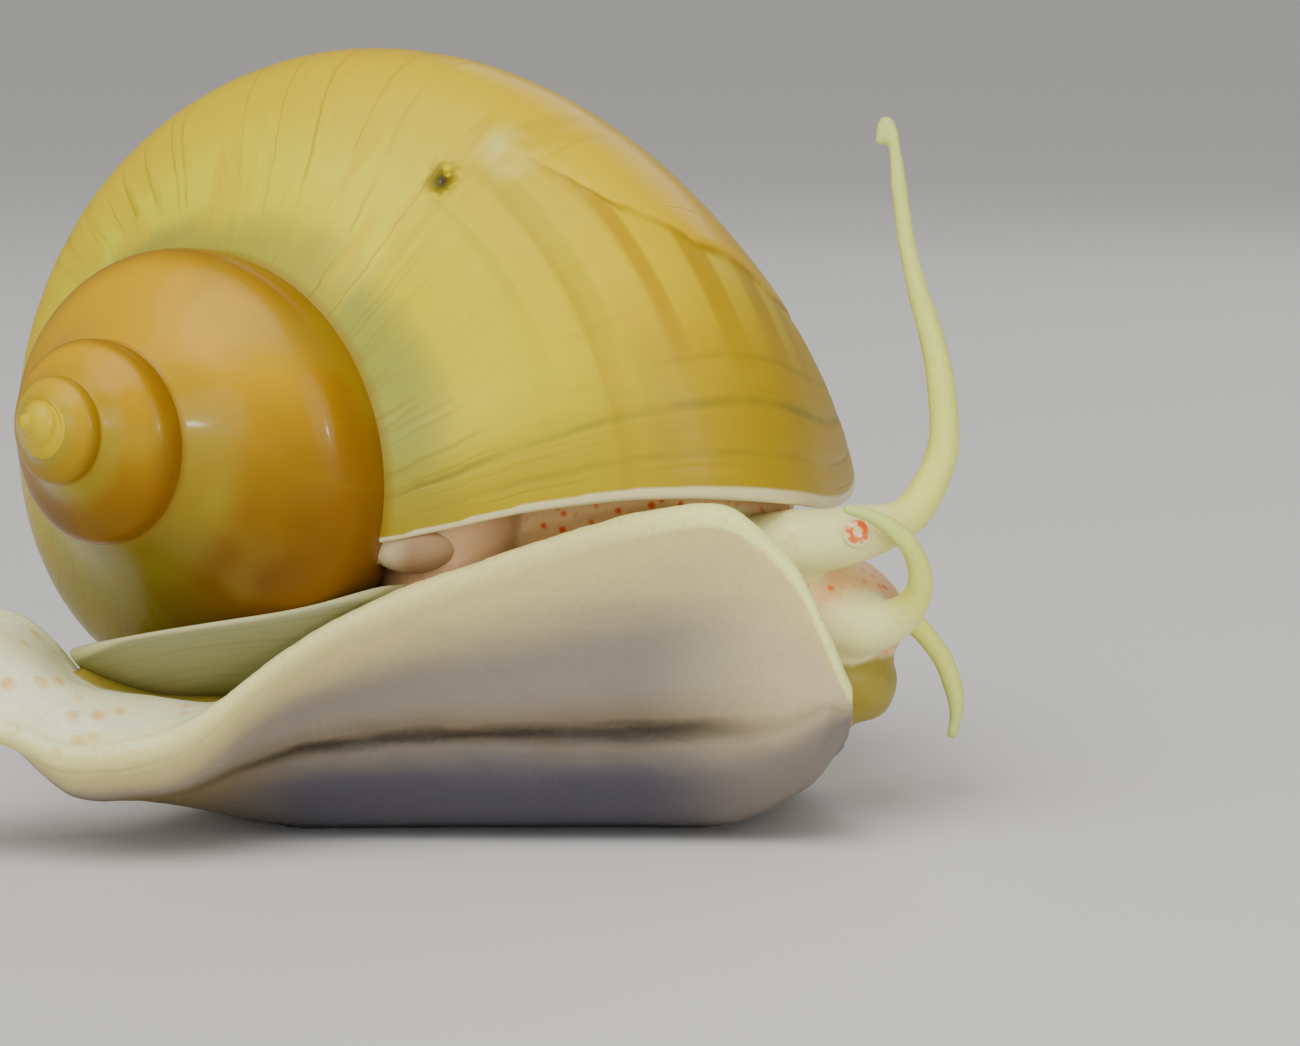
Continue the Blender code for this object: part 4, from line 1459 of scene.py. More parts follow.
    def keep_largest(self, piece: bpy.types.Object) -> None:
        """Drops what the joining left loose, and slivers.

        Args:
            piece: The joined shell, in millimetres.
        """
        shape = bmesh.new()
        shape.from_mesh(piece.data)
        bmesh.ops.triangulate(shape, faces=shape.faces)
        bmesh.ops.remove_doubles(shape, verts=shape.verts, dist=self.merge_near)
        bmesh.ops.dissolve_degenerate(shape, edges=shape.edges, dist=self.least_edge)
        bmesh.ops.triangulate(shape, faces=shape.faces)
        seen: set[bmesh.types.BMFace] = set()
        islands = []
        for start in shape.faces:
            if start in seen:
                continue
            island = [start]
            seen.add(start)
            for face in island:
                for edge in face.edges:
                    for other in edge.link_faces:
                        if other not in seen:
                            seen.add(other)
                            island.append(other)
            islands.append(island)
        islands.sort(key=len)
        loose = [face for island in islands[:-1] for face in island]
        bmesh.ops.delete(shape, geom=loose, context="FACES")
        shape.to_mesh(piece.data)
        shape.free()

    def mark(self, mesh: bpy.types.Mesh) -> None:
        """Stores turn, share and inside on the face corners, each face on its own whorl.

        Args:
            mesh: The shell's mesh, in millimetres.
        """
        points = points_of(mesh)
        corners = np.empty(len(mesh.loops), np.int64)
        mesh.loops.foreach_get("vertex_index", corners)
        sizes = np.empty(len(mesh.polygons), np.int64)
        mesh.polygons.foreach_get("loop_total", sizes)
        centres = np.empty(len(mesh.polygons) * 3)
        mesh.polygons.foreach_get("center", centres)
        centres = centres.reshape(-1, 3)
        halfway = [np.full(len(centres), -0.5 - n) for n in range(len(self.rings))]
        found = [self.spiral.locate(centres, near) for near in halfway]
        far = np.stack([miss for _, _, miss in found])
        whorl = far.argmin(axis=0)
        callus, reach = (np.asarray(row) for row in self.callus)
        on_callus = (((centres - callus) / (reach + self.callus_margin)) ** 2).sum(axis=1) < 1.0
        forward = centres[:, 0] > self.mouth_back
        inside = (forward & ((far.min(axis=0) > self.inside_from) | on_callus)).astype(float)
        owner = np.repeat(np.arange(len(sizes)), sizes)
        middle = np.stack([turn for turn, _, _ in found])[whorl, np.arange(len(whorl))]
        turn, share, _ = self.spiral.locate(points[corners], middle[owner])
        turn = turn - self.spiral.lag_at(share)
        set_mark(mesh, Mark.TURN, turn, "CORNER")
        set_mark(mesh, Mark.SHARE, share, "CORNER")
        set_mark(mesh, Mark.INSIDE, inside[owner], "CORNER")
        set_mark(mesh, Mark.SCAR, self.past_scar(turn, share), "CORNER")


@dataclass
class Flesh:
    """All the snail's soft body as one skin, grown over its parts and blended where they meet.

    Rows of columns (neck, head, snout, lips, lobe, cushion, fold) hold x, y, z, half length or
    half height, and half width. Rows of feelers hold x, y, z and radius.

    Attributes:
        foot: x, then y, z and half thickness at five places across, from the near margin.
        mouth_slit: Foremost x, and the middle y and z, of the slit between the lips.
        slit_half: Its half width and half height.
        slit_reach: How far behind its front it starts, and how far behind it is full.
        end_angles: Angles of the points that round each margin of the foot, in degrees.
        rear_from: Places along x over which the foot turns into the tail.
        tip_arc: Angles over which a feeler's tip closes, in radians.
        furrow_waves: Height and rate of each wave in the sole's crease.
        furrow_depth: Depth and width of the crease.
        furrow_swelling: Height, distance and width of the swelling below it.
        collar_turns: Turns where the mantle's edge starts and ends.
        lumps: Height, size and seed of the skin's soft lumps.
        lumps_from: Heights above the floor over which they begin.
    """

    spiral: Spiral = field(default_factory=Spiral)
    voxel: float = 0.26
    blend_near: float = 0.3
    blend_far: float = 1.5
    smoothing: int = 26
    foot: tuple[Row, ...] = (
        (-43.6, -14.1, 9.8, 0.3, -13.9, 10.0, 0.3, -13.6, 10.2, 0.3, -13.3, 10.4, 0.3, -13.1, 10.6, 0.3),
        (-42.4, -15.0, 9.2, 0.6, -14.2, 9.7, 0.9, -13.5, 10.2, 1.0, -12.8, 10.7, 0.9, -12.1, 11.2, 0.5),
        (-38.5, -16.0, 8.0, 0.8, -14.5, 9.0, 1.6, -13.0, 10.1, 1.8, -11.6, 11.0, 1.4, -10.3, 12.0, 0.8),
        (-34.0, -16.5, 7.4, 0.8, -14.3, 8.3, 2.2, -12.4, 9.4, 2.4, -10.8, 10.5, 1.8, -9.3, 11.7, 0.8),
        (-31.0, -17.2, 6.2, 0.8, -14.4, 6.4, 2.8, -11.6, 6.9, 2.7, -9.3, 7.4, 1.9, -6.9, 8.4, 0.8),
        (-28.0, -17.2, 6.1, 0.8, -13.6, 6.0, 2.8, -10.0, 5.1, 2.4, -6.0, 4.6, 1.7, -1.5, 4.6, 0.8),
        (-24.5, -16.8, 6.9, 0.8, -13.0, 5.9, 2.4, -9.0, 3.9, 2.1, -3.5, 3.3, 1.8, 2.5, 3.0, 0.8),
        (-21.4, -15.8, 9.0, 0.7, -12.0, 6.2, 1.6, -8.0, 3.0, 1.9, -1.0, 2.5, 2.1, 5.5, 1.6, 0.8),
        (-18.3, -14.6, 11.2, 0.7, -11.0, 6.6, 1.2, -7.9, 2.7, 1.8, 0.0, 2.2, 2.2, 8.0, 0.8, 0.7),
        (-13.5, -13.4, 13.5, 0.7, -10.2, 6.9, 1.1, -7.9, 2.6, 1.7, 1.0, 2.2, 2.2, 10.5, 0.7, 0.7),
        (-7.0, -12.4, 15.7, 0.7, -10.1, 7.1, 1.1, -8.0, 2.6, 1.7, 1.5, 2.2, 2.2, 11.5, 0.7, 0.7),
        (-2.6, -12.4, 17.1, 0.7, -10.2, 7.3, 1.1, -8.0, 2.6, 1.7, 1.5, 2.2, 2.2, 11.7, 0.7, 0.7),
        (2.6, -12.4, 18.1, 0.7, -10.3, 7.5, 1.1, -8.1, 2.6, 1.7, 1.5, 2.1, 2.1, 11.5, 0.8, 0.7),
        (5.2, -12.4, 17.3, 0.7, -10.6, 7.7, 1.1, -8.4, 2.9, 1.7, 1.2, 2.4, 1.9, 10.8, 1.1, 0.7),
        (7.5, -12.4, 15.1, 0.7, -11.3, 8.0, 1.1, -9.2, 4.0, 1.5, 0.5, 3.0, 1.5, 9.5, 1.9, 0.7),
        (9.1, -12.4, 12.1, 0.7, -11.8, 8.4, 1.0, -10.0, 5.2, 1.3, 0.0, 3.5, 1.1, 8.0, 2.7, 0.6),
        (10.2, -12.2, 9.6, 0.6, -11.8, 8.3, 0.8, -9.2, 6.3, 0.8, -0.5, 3.9, 0.8, 6.5, 3.3, 0.5),
        (10.8, -12.0, 8.6, 0.3, -11.5, 7.9, 0.4, -9.2, 6.6, 0.4, -0.5, 4.1, 0.4, 5.5, 3.5, 0.3),
    )
    neck: tuple[Row, ...] = (
        (-3.0, -0.8, 3.2, 10.0, 5.4), (-3.0, -1.0, 6.0, 9.4, 5.2), (-2.8, -1.0, 10.0, 9.2, 5.6),
        (-2.8, 0.5, 14.0, 9.9, 7.4), (-2.2, 2.4, 17.5, 10.4, 9.6), (-1.8, 3.2, 21.0, 10.4, 10.6),
    )
    head: tuple[Row, ...] = (
        (-3.0, -1.0, 12.0, 3.4, 4.6), (1.0, -1.4, 12.9, 4.2, 5.6), (5.0, -2.0, 13.4, 4.0, 5.6),
        (8.0, -2.3, 13.3, 3.3, 4.9), (9.4, -2.4, 13.1, 2.2, 3.6), (9.9, -2.4, 13.0, 0.9, 1.6),
    )
    snout: tuple[Row, ...] = (
        (4.5, -2.2, 11.8, 2.8, 4.4), (8.0, -2.2, 11.9, 3.2, 4.9), (10.6, -2.1, 11.8, 3.1, 4.9),
        (12.6, -2.0, 11.4, 2.4, 4.2), (13.7, -2.0, 11.1, 1.4, 2.8), (14.0, -2.0, 11.0, 0.5, 1.2),
    )
    lips: tuple[Row, ...] = (
        (7.4, -2.0, 8.6, 2.2, 3.2), (9.4, -2.0, 8.4, 2.9, 3.9), (11.6, -2.0, 8.2, 2.8, 3.8),
        (13.0, -2.0, 8.0, 2.0, 2.8), (13.6, -2.0, 7.9, 0.8, 1.2),
    )
    tentacle_right: tuple[Row, ...] = (
        (3.0, -4.4, 14.4, 2.2), (7.0, -6.3, 15.6, 2.0), (9.2, -6.9, 16.1, 1.75),
        (11.5, -7.3, 16.6, 1.5), (13.0, -7.0, 17.0, 1.18), (14.4, -6.5, 17.9, 1.02),
        (15.6, -6.0, 20.1, 0.9), (15.9, -6.0, 22.5, 0.8), (15.3, -6.0, 26.6, 0.68),
        (14.0, -6.0, 31.2, 0.5), (13.3, -6.0, 35.8, 0.37), (12.9, -6.0, 38.3, 0.3),
        (12.5, -6.0, 38.5, 0.27), (12.3, -6.0, 37.4, 0.25),
    )
    tentacle_left: tuple[Row, ...] = (
        (3.0, 2.0, 14.0, 1.9), (5.6, 6.0, 14.4, 1.75), (6.8, 9.0, 14.3, 1.6),
        (7.2, 11.4, 14.2, 1.45), (7.2, 13.0, 14.2, 1.18), (6.6, 16.0, 14.1, 1.05),
        (4.6, 20.5, 14.9, 0.97), (0.6, 24.2, 17.0, 0.88), (-3.8, 26.3, 20.5, 0.78),
        (-6.8, 27.0, 25.0, 0.63), (-8.3, 26.6, 29.5, 0.47), (-7.9, 25.8, 33.0, 0.33),
        (-6.8, 25.2, 34.2, 0.25),
    )
    palp_right: tuple[Row, ...] = (
        (9.4, -5.0, 11.3, 1.9), (11.5, -6.0, 11.3, 1.75), (13.2, -6.8, 11.8, 1.2),
        (14.3, -7.8, 13.0, 0.82), (14.5, -8.7, 14.4, 0.7), (14.0, -9.6, 15.9, 0.59),
        (13.0, -10.2, 17.1, 0.48), (11.7, -10.6, 17.9, 0.37), (10.3, -10.8, 18.3, 0.26),
    )
    palp_left: tuple[Row, ...] = (
        (9.4, 0.8, 11.8, 1.7), (11.5, 2.0, 12.1, 1.3), (13.6, 2.6, 11.3, 0.85),
        (15.3, 3.0, 9.7, 0.64), (16.4, 3.2, 8.3, 0.58), (17.1, 3.2, 6.6, 0.52),
        (17.3, 3.0, 5.0, 0.4), (17.0, 2.8, 3.6, 0.27),
    )
    siphon: tuple[Row, ...] = (
        (-3.0, 5.0, 13.4, 2.6), (-2.6, 9.0, 12.9, 2.3), (-1.8, 12.4, 12.5, 2.1),
        (-1.0, 15.4, 12.8, 2.3),
    )
    lobe: tuple[Row, ...] = (
        (-22.0, -4.0, 2.5, 5.4, 3.6), (-22.0, -4.4, 5.0, 5.4, 4.0), (-22.0, -4.6, 6.6, 5.5, 4.4),
    )
    cushion: tuple[Row, ...] = (
        (-30.6, -9.4, 9.6, 0.4, 1.0), (-29.5, -8.6, 8.5, 0.9, 2.4), (-27.0, -7.6, 7.2, 1.3, 3.8),
        (-23.0, -7.0, 6.6, 1.7, 5.0), (-18.5, -6.8, 7.2, 1.8, 5.2), (-14.5, -7.4, 9.4, 1.7, 3.6),
        (-12.4, -8.0, 11.4, 0.9, 1.6),
    )
    fold: tuple[Row, ...] = (
        (-11.2, -6.5, 9.5, 3.0, 4.0), (-11.2, -6.8, 12.5, 3.4, 4.0), (-11.0, -6.6, 15.2, 3.5, 3.8),
        (-10.6, -6.0, 18.0, 3.6, 4.6),
    )
    mouth_slit: Row = (13.4, -2.0, 7.6)
    slit_half: Row = (0.42, 2.1)
    slit_depth: float = 1.3
    slit_reach: Row = (3.4, 0.6)
    spine_points: int = 65
    spine_knots: int = 5
    least_half: float = 0.25
    end_angles: Row = (30.0, 60.0, 90.0, 120.0, 150.0)
    rim_width: float = 1.1
    rear_from: Row = (-18.0, -27.0)
    rings_per_row: int = 8
    column_sides: int = 56
    feeler_sides: int = 28
    feeler_rings: int = 10
    tip_share: float = 0.12
    tip_rings: int = 5
    tip_arc: Row = (0.3, 1.5)
    tip_open: float = 0.8
    tip_least: float = 0.06
    furrow_fold: float = 1.13
    furrow_waves: tuple[Row, ...] = ((0.035, 0.55), (0.02, 1.7))
    furrow_depth: Row = (0.38, 0.13)
    furrow_swelling: Row = (0.25, 0.36, 0.20)
    search_reach: float = 1.5
    collar_inset: float = 0.9
    collar_turns: Row = (-0.07, -0.012)
    collar_rings: int = 16
    no_part: float = 9.0
    lumps: tuple[Row, ...] = ((0.07, 2.6, 3.0), (0.035, 0.9, 8.0))
    lumps_from: Row = (0.3, 2.0)
    mark_points: int = 5
    mark_softness: float = 0.02

    def foot_ring(self, place: float) -> tuple[np.ndarray, dict[Mark, np.ndarray]]:
        """The foot's outline at one place along it.

        Args:
            place: Counted in the foot's rows of sizes.

        Returns:
            The ring's points and their measures.
        """
        values = smooth_through(self.foot, [place])[0]
        places = np.linspace(0.0, self.spine_knots - 1.0, self.spine_points)
        spine = smooth_through(values[1:].reshape(self.spine_knots, 3), places)
        tangent = np.gradient(spine[:, :2], axis=0)
        tangent /= np.linalg.norm(tangent, axis=1)[:, None]
        normal = np.stack([tangent[:, 1], -tangent[:, 0]], axis=1)
        thick = np.maximum(spine[:, 2], self.least_half)[:, None]
        upper = spine[:, :2] - normal * thick
        under = spine[:, :2] + normal * (thick + self.furrow(values[0], places)[:, None])
        far_end = self.round_end(spine[-1], normal[-1], tangent[-1], thick[-1, 0])
        near_end = self.round_end(spine[0], -normal[0], -tangent[0], thick[0, 0])
        flat = np.concatenate([upper, far_end, under[::-1], near_end])
        flat[:, 1] = np.where(flat[:, 1] < self.least_half, 0.0, flat[:, 1])
        return np.column_stack([np.full(len(flat), values[0]), flat]), self.foot_marks(spine)

    def foot_marks(self, spine: np.ndarray) -> dict[Mark, np.ndarray]:
        """Measures of the points round one ring of the foot.

        Args:
            spine: The middle line of the ring, from the near margin.

        Returns:
            Place across the foot, under side and rim, in the ring's order.
        """
        last = self.spine_knots - 1.0
        count, bends = self.spine_points, len(self.end_angles)
        places = np.linspace(0.0, last, count)
        ends = np.linspace(0.0, 1.0, bends + 2)[1:-1]
        fold = np.concatenate([places, np.full(bends, last), places[::-1], np.zeros(bends)])
        sole = np.concatenate([np.zeros(count), ends, np.ones(count), 1.0 - ends])
        steps = np.linalg.norm(np.diff(spine[:, :2], axis=0), axis=1)
        run = np.concatenate([[0.0], np.cumsum(steps)])
        edge = np.minimum(run, run[-1] - run)
        edge = np.concatenate([edge, np.zeros(bends), edge[::-1], np.zeros(bends)])
        return {Mark.FOLD: fold, Mark.SOLE: sole, Mark.RIM: hump(edge, 0.0, self.rim_width)}

    def furrow(self, x: float, fold: np.ndarray) -> np.ndarray:
        """How far the sole stands out beyond its fold: a wavy crease, with a swelling below.

        Args:
            x: Place along the body.
            fold: Places across the foot, from its near margin.

        Returns:
            One height for each place.
        """
        waves = sum(height * math.sin(x * rate) for height, rate in self.furrow_waves)
        after = fold - self.furrow_fold - waves
        depth, width = self.furrow_depth
        swelling, place, reach = self.furrow_swelling
        shape = swelling * hump(after, place, reach) - depth * hump(after, 0.0, width)
        return shape * step_at(-27.0, -18.0, x) * step_at(8.0, 1.0, x)

    def round_end(
        self, knot: np.ndarray, side: np.ndarray, ahead: np.ndarray, radius: float
    ) -> np.ndarray:
        """Points on the half circle that rounds an end of the foot's outline.

        Args:
            knot: The end of the outline's middle line.
            side: Direction towards the under side.
            ahead: Direction out of the end.
            radius: Half the foot's thickness there.

        Returns:
            One point for each of the angles.
        """
        turns = np.radians(self.end_angles)[:, None]
        return knot[:2] - side * radius * np.cos(turns) + ahead * radius * np.sin(turns)

    def foot_solid(self) -> Solid:
        """The whole foot, from the tail's tip to its front edge.

        Returns:
            The closed foot, with its measures.
        """
        rings = []
        measured = (Mark.FOLD, Mark.SOLE, Mark.RIM, Mark.TAIL)
        marks: dict[Mark, list[np.ndarray]] = {mark: [] for mark in measured}
        for place in self.between(self.foot):
            ring, found = self.foot_ring(place)
            rings.append(ring)
            for mark, values in found.items():
                marks[mark].append(values)
            rear = step_at(*self.rear_from, ring[0, 0])
            marks[Mark.TAIL].append(np.full(len(ring), rear))
        return loft(rings, {mark: np.concatenate(values) for mark, values in marks.items()})

    def between(self, rows: Sequence[Row]) -> np.ndarray:
        """Places for the rings between a table's rows."""
        last = len(rows) - 1
        return np.linspace(0, last, self.rings_per_row * last + 1)

    def column(self, rows: Sequence[Row], upright: bool) -> Solid:
        """An elliptical column of flesh.

        Args:
            rows: x, y, z, half length in x or half height, and half width in y.
            upright: Whether it stands along z, or lies along x.

        Returns:
            The closed column.
        """
        turns = ring_turns(self.column_sides)
        still = np.zeros(self.column_sides)
        rings = []
        for x, y, z, half, width in smooth_through(rows, self.between(rows)):
            along = half * np.cos(turns)
            across = width * np.sin(turns)
            offsets = (along, across, still) if upright else (still, across, along)
            rings.append(np.array((x, y, z)) + np.stack(offsets, axis=1))
        return loft(rings)

    def tube(self, rows: Sequence[Row]) -> Solid:
        """A round feeler with a rounded tip.

        Args:
            rows: x, y, z and radius.

        Returns:
            The closed feeler.
        """
        end = len(rows) - 1.0
        tip = end - self.tip_share
        body = np.linspace(0.0, tip, self.feeler_rings * (len(rows) - 1))
        closing = tip + self.tip_share * np.sin(np.linspace(*self.tip_arc, self.tip_rings))
        places = np.concatenate([body, closing])
        values = smooth_through(rows, places)
        path = values[:, :3]
        tangent = np.gradient(path, axis=0)
        across = Vector((0.0, 1.0, 0.0))
        turns = ring_turns(self.feeler_sides)
        rings = []
        for i, (point, ahead) in enumerate(zip(path, tangent)):
            ahead = Vector(ahead).normalized()
            across = (across - ahead * across.dot(ahead)).normalized()
            up = ahead.cross(across)
            past = max(0, i - (len(path) - self.tip_rings)) / (self.tip_rings - self.tip_open)
            radius = values[i, 3] * math.sqrt(max(self.tip_least, 1.0 - past**2))
            spokes = [across * math.cos(a) + up * math.sin(a) for a in turns]
            rings.append(np.array([Vector(point) + spoke * radius for spoke in spokes]))
        return loft(rings, {Mark.ALONG: np.repeat(places / end, self.feeler_sides)})

    def collar(self) -> Solid:
        """The mantle's edge, which fills the mouth just behind the lip.

        Returns:
            The closed collar.
        """
        outline = self.spiral.mouth_outline(self.collar_inset)
        turns = np.linspace(*self.collar_turns, self.collar_rings)
        return loft([self.spiral.ring(outline, turn) for turn in turns])

    def parts(self) -> dict[str, Solid]:
        """Every part of the body, with the mark that covers all of it.

        Returns:
            The parts by name.
        """
        made = (
            ("foot", self.foot_solid(), None),
            ("lobe", self.column(self.lobe, True), None),
            # The cushion under the horn plate takes the lips' dark colour as painted shade.
            ("cushion", self.column(self.cushion, False), Mark.LIPS),
            # The fold in the shell's mouth takes the collar's colour as painted shade.
            ("fold", self.column(self.fold, True), Mark.COLLAR),
            ("neck", self.column(self.neck, True), Mark.NECK),
            ("head", self.column(self.head, False), Mark.NECK),
            ("snout", self.column(self.snout, False), Mark.SNOUT),
            ("lips", self.column(self.lips, False), Mark.LIPS),
            ("tentacle_right", self.tube(self.tentacle_right), Mark.FEELER),
            ("tentacle_left", self.tube(self.tentacle_left), Mark.FEELER),
            ("palp_right", self.tube(self.palp_right), Mark.FEELER),
            ("palp_left", self.tube(self.palp_left), Mark.FEELER),
            ("siphon", self.tube(self.siphon), Mark.COLLAR),
            ("collar", self.collar(), Mark.COLLAR),
        )
        for _, solid, mark in made:
            if mark:
                solid.marks[mark] = np.ones(len(solid.points))
        return {name: solid for name, solid, _ in made}

    def build(self) -> bpy.types.Object:
        """Grows one skin over all the parts, blends their joins and marks them.

        Returns:
            The finished body.
        """
        parts = self.parts()
        piece = self.fuse(parts)
        mesh = piece.data
        points = points_of(mesh)
        smoothed = self.smooth(mesh, points, self.smoothing)
        points = self.follow(parts, points, smoothed)
        points = self.open_mouth(points)
        mesh.vertices.foreach_set("co", points.ravel())
        mesh.update()
        points = self.roughen(mesh, points)
        mesh.vertices.foreach_set("co", points.ravel())
        self.mark(mesh, parts, points)
        settle(piece)
        mesh.materials.clear()
        mesh.materials.append(SkinFinish().make())
        return piece

    def fuse(self, parts: dict[str, Solid]) -> bpy.types.Object:
        """Joins the parts' meshes and grows one skin over them.

        Args:
            parts: The parts by name.

        Returns:
            The skin, still in millimetres.
        """
        pieces = [solid.to_object(f"part_{name}") for name, solid in parts.items()]
        activate(pieces)
        bpy.ops.object.join()
        skin = bpy.context.view_layer.objects.active
        skin.name = "moist_body"
        remesh = skin.modifiers.new("grow", "REMESH")
        remesh.mode = "VOXEL"
        remesh.voxel_size = self.voxel
        apply_modifiers(skin)
        return skin

    @staticmethod
    def smooth(mesh: bpy.types.Mesh, points: np.ndarray, rounds: int) -> np.ndarray:
        """Evens out the points, each towards the middle of its neighbours.

        Args:
            mesh: The mesh that they belong to.
            points: Where they are.
            rounds: How often each is moved.

        Returns:
            The evened points.
        """
        edges = np.empty(len(mesh.edges) * 2, np.int64)
        mesh.edges.foreach_get("vertices", edges)
        first, second = edges.reshape(-1, 2).T
        count = np.bincount(edges, minlength=len(points)).astype(float)[:, None]
        for _ in range(rounds):
            total = np.zeros_like(points)
            for axis in range(3):
                total[:, axis] = np.bincount(first, points[second, axis], len(points))
                total[:, axis] += np.bincount(second, points[first, axis], len(points))
            points = 0.5 * points + 0.5 * total / np.maximum(count, 1.0)
        return points

    def follow(
        self, parts: dict[str, Solid], points: np.ndarray, smoothed: np.ndarray
    ) -> np.ndarray:
        """Keeps each point on its own part, and lets it leave it where another part is near.

        Args:
            parts: The parts by name.
            points: The skin's points as it grew.
            smoothed: The same points evened out.

        Returns:
            The blended points.
        """
        nearest = np.full(len(points), self.no_part)
        second = nearest.copy()
        target = points.copy()
        for solid in parts.values():
            tree = BVHTree.FromPolygons([Vector(p) for p in solid.points], solid.faces)
            low = solid.points.min(axis=0) - self.blend_far
            high = solid.points.max(axis=0) + self.blend_far
            close = np.nonzero(((points > low) & (points < high)).all(axis=1))[0]
            for i in close:
                hit, _, _, far = tree.find_nearest(points[i], self.blend_far * self.search_reach)
                if hit is None:
                    continue
                if far < nearest[i]:
                    second[i] = nearest[i]
                    nearest[i] = far
                    target[i] = hit
                elif far < second[i]:
                    second[i] = far
        alone = smooth_step(self.blend_near, self.blend_far, second)[:, None]
        return alone * target + (1.0 - alone) * smoothed

    def open_mouth(self, points: np.ndarray) -> np.ndarray:
        """Sinks the upright slit between the lips.

        Args:
            points: The skin's points.

        Returns:
            The points with the slit.
        """
        x, y, z = self.mouth_slit
        across, upright = self.slit_half
        rear, front = self.slit_reach
        near = hump(points[:, 1], y, across) * np.exp(-(((points[:, 2] - z) / upright) ** 4))
        points = points.copy()
        points[:, 0] -= self.slit_depth * near * smooth_step(x - rear, x - front, points[:, 0])
        return points

    def roughen(self, mesh: bpy.types.Mesh, points: np.ndarray) -> np.ndarray:
        """Adds the skin's soft lumps, none on the sole's flat.

        Args:
            mesh: The skin's mesh.
            points: The skin's points.

        Returns:
            The moved points.
        """
        normals = np.empty(len(points) * 3)
        mesh.vertex_normals.foreach_get("vector", normals)
        lumps = sum(depth * ripple(points, size, seed) for depth, size, seed in self.lumps)
        lumps *= smooth_step(*self.lumps_from, points[:, 2])
        return points + normals.reshape(-1, 3) * lumps[:, None]

    def mark(self, mesh: bpy.types.Mesh, parts: dict[str, Solid], points: np.ndarray) -> None:
        """Stores on the skin the measures of the parts nearest to each point.

        Args:
            mesh: The skin's mesh.
            parts: The parts by name.
            points: The skin's points.
        """
        marks = [m for m in Mark if any(m in solid.marks for solid in parts.values())]
        total = sum(len(solid.points) for solid in parts.values())
        tree = KDTree(total)
        table = np.zeros((total, len(marks)))
        start = 0
        for solid in parts.values():
            for i, point in enumerate(solid.points):
                tree.insert(point, start + i)
            for column, mark in enumerate(marks):
                if mark in solid.marks:
                    table[start : start + len(solid.points), column] = solid.marks[mark]
            start += len(solid.points)
        tree.balance()
        values = np.zeros((len(points), len(marks)))
        for i, point in enumerate(points):
            near = tree.find_n(point, self.mark_points)
            weights = np.array([1.0 / (far**2 + self.mark_softness) for _, _, far in near])
            values[i] = weights @ table[[index for _, index, _ in near]] / weights.sum()
        for column, mark in enumerate(marks):
            set_mark(mesh, mark, values[:, column])


@dataclass
class Operculum:
    """The thin horn plate on the tail's back, curved to the last whorl.

    Attributes:
        half: Half its thickness.
        roundness: How round its outline's corners are.
        edge_power: How late the thickness falls off towards the edge.
        middle_share: How much of the growth measure starts at the middle.
        rings_share: How near to the edge the middle's rings reach.
        rows: x, then y and z at four places across.
    """

    half: float = 0.3
    length_rings: int = 97
    width_points: int = 49
    line_knots: int = 4
    roundness: float = 2.2
    edge_power: int = 6
    edge_least: float = 0.02
    middle_share: float = 0.9
    rings_share: float = 0.96
    sharp_edge: float = math.radians(60.0)
    rows: tuple[Row, ...] = (
        (-31.0, -10.3, 10.5, -9.6, 10.2, -8.8, 10.0, -8.0, 9.9),
        (-29.5, -11.9, 11.2, -10.0, 9.6, -5.5, 8.1, -1.5, 7.7),
        (-26.5, -12.6, 11.9, -10.4, 9.0, -5.0, 7.1, 1.5, 7.2),
        (-22.5, -13.0, 12.6, -10.5, 9.0, -4.5, 7.0, 3.0, 7.4),
        (-18.0, -13.1, 13.4, -10.8, 9.9, -4.5, 8.4, 3.5, 8.8),
        (-14.5, -12.0, 14.2, -10.0, 12.0, -5.0, 11.3, 1.0, 11.6),
        (-12.8, -9.4, 13.9, -8.6, 13.6, -7.6, 13.4, -6.6, 13.3),
    )

    def build(self) -> bpy.types.Object:
        """Makes the plate, with its growth measure from the middle to the edge.

        Returns:
            The finished plate.
        """
        length, width = len(self.rows) - 1.0, self.line_knots - 1.0
        places = np.linspace(0.0, length, self.length_rings)
        across = np.linspace(0.0, width, self.width_points)
        crosswise = 2.0 * across / width - 1.0
        rings, growth = [], []
        for place, values in zip(places, smooth_through(self.rows, places)):
            line = smooth_through(values[1:].reshape(self.line_knots, 2), across)
            tangent = np.gradient(line, axis=0)
            tangent /= np.linalg.norm(tangent, axis=1)[:, None]
            normal = np.stack([-tangent[:, 1], tangent[:, 0]], axis=1)
            lengthwise = 2.0 * place / length - 1.0
            reach = np.maximum(abs(lengthwise), np.abs(crosswise)) ** self.roundness
            reach = np.clip(reach, 0.0, 1.0)
            centre = np.hypot(lengthwise, crosswise) * self.middle_share
            rounded = np.clip(1.0 - reach**self.edge_power, self.edge_least, 1.0)
            thick = (self.half * np.sqrt(rounded))[:, None]
            lower = line - normal * thick
            upper = line + normal * thick
            ring = np.concatenate([lower, upper[::-1]])
            rings.append(np.column_stack([np.full(len(ring), values[0]), ring]))
            measure = np.clip(np.maximum(centre * self.rings_share, reach), 0.0, 1.0)
            growth.append(np.concatenate([measure, measure[::-1]]))
        solid = loft(rings, {Mark.GROWTH: np.concatenate(growth)})
        piece = solid.to_object("horn_operculum")
        set_mark(piece.data, Mark.GROWTH, solid.marks[Mark.GROWTH])
        settle(piece, self.sharp_edge)
        piece.data.materials.append(HornFinish().make())
        return piece


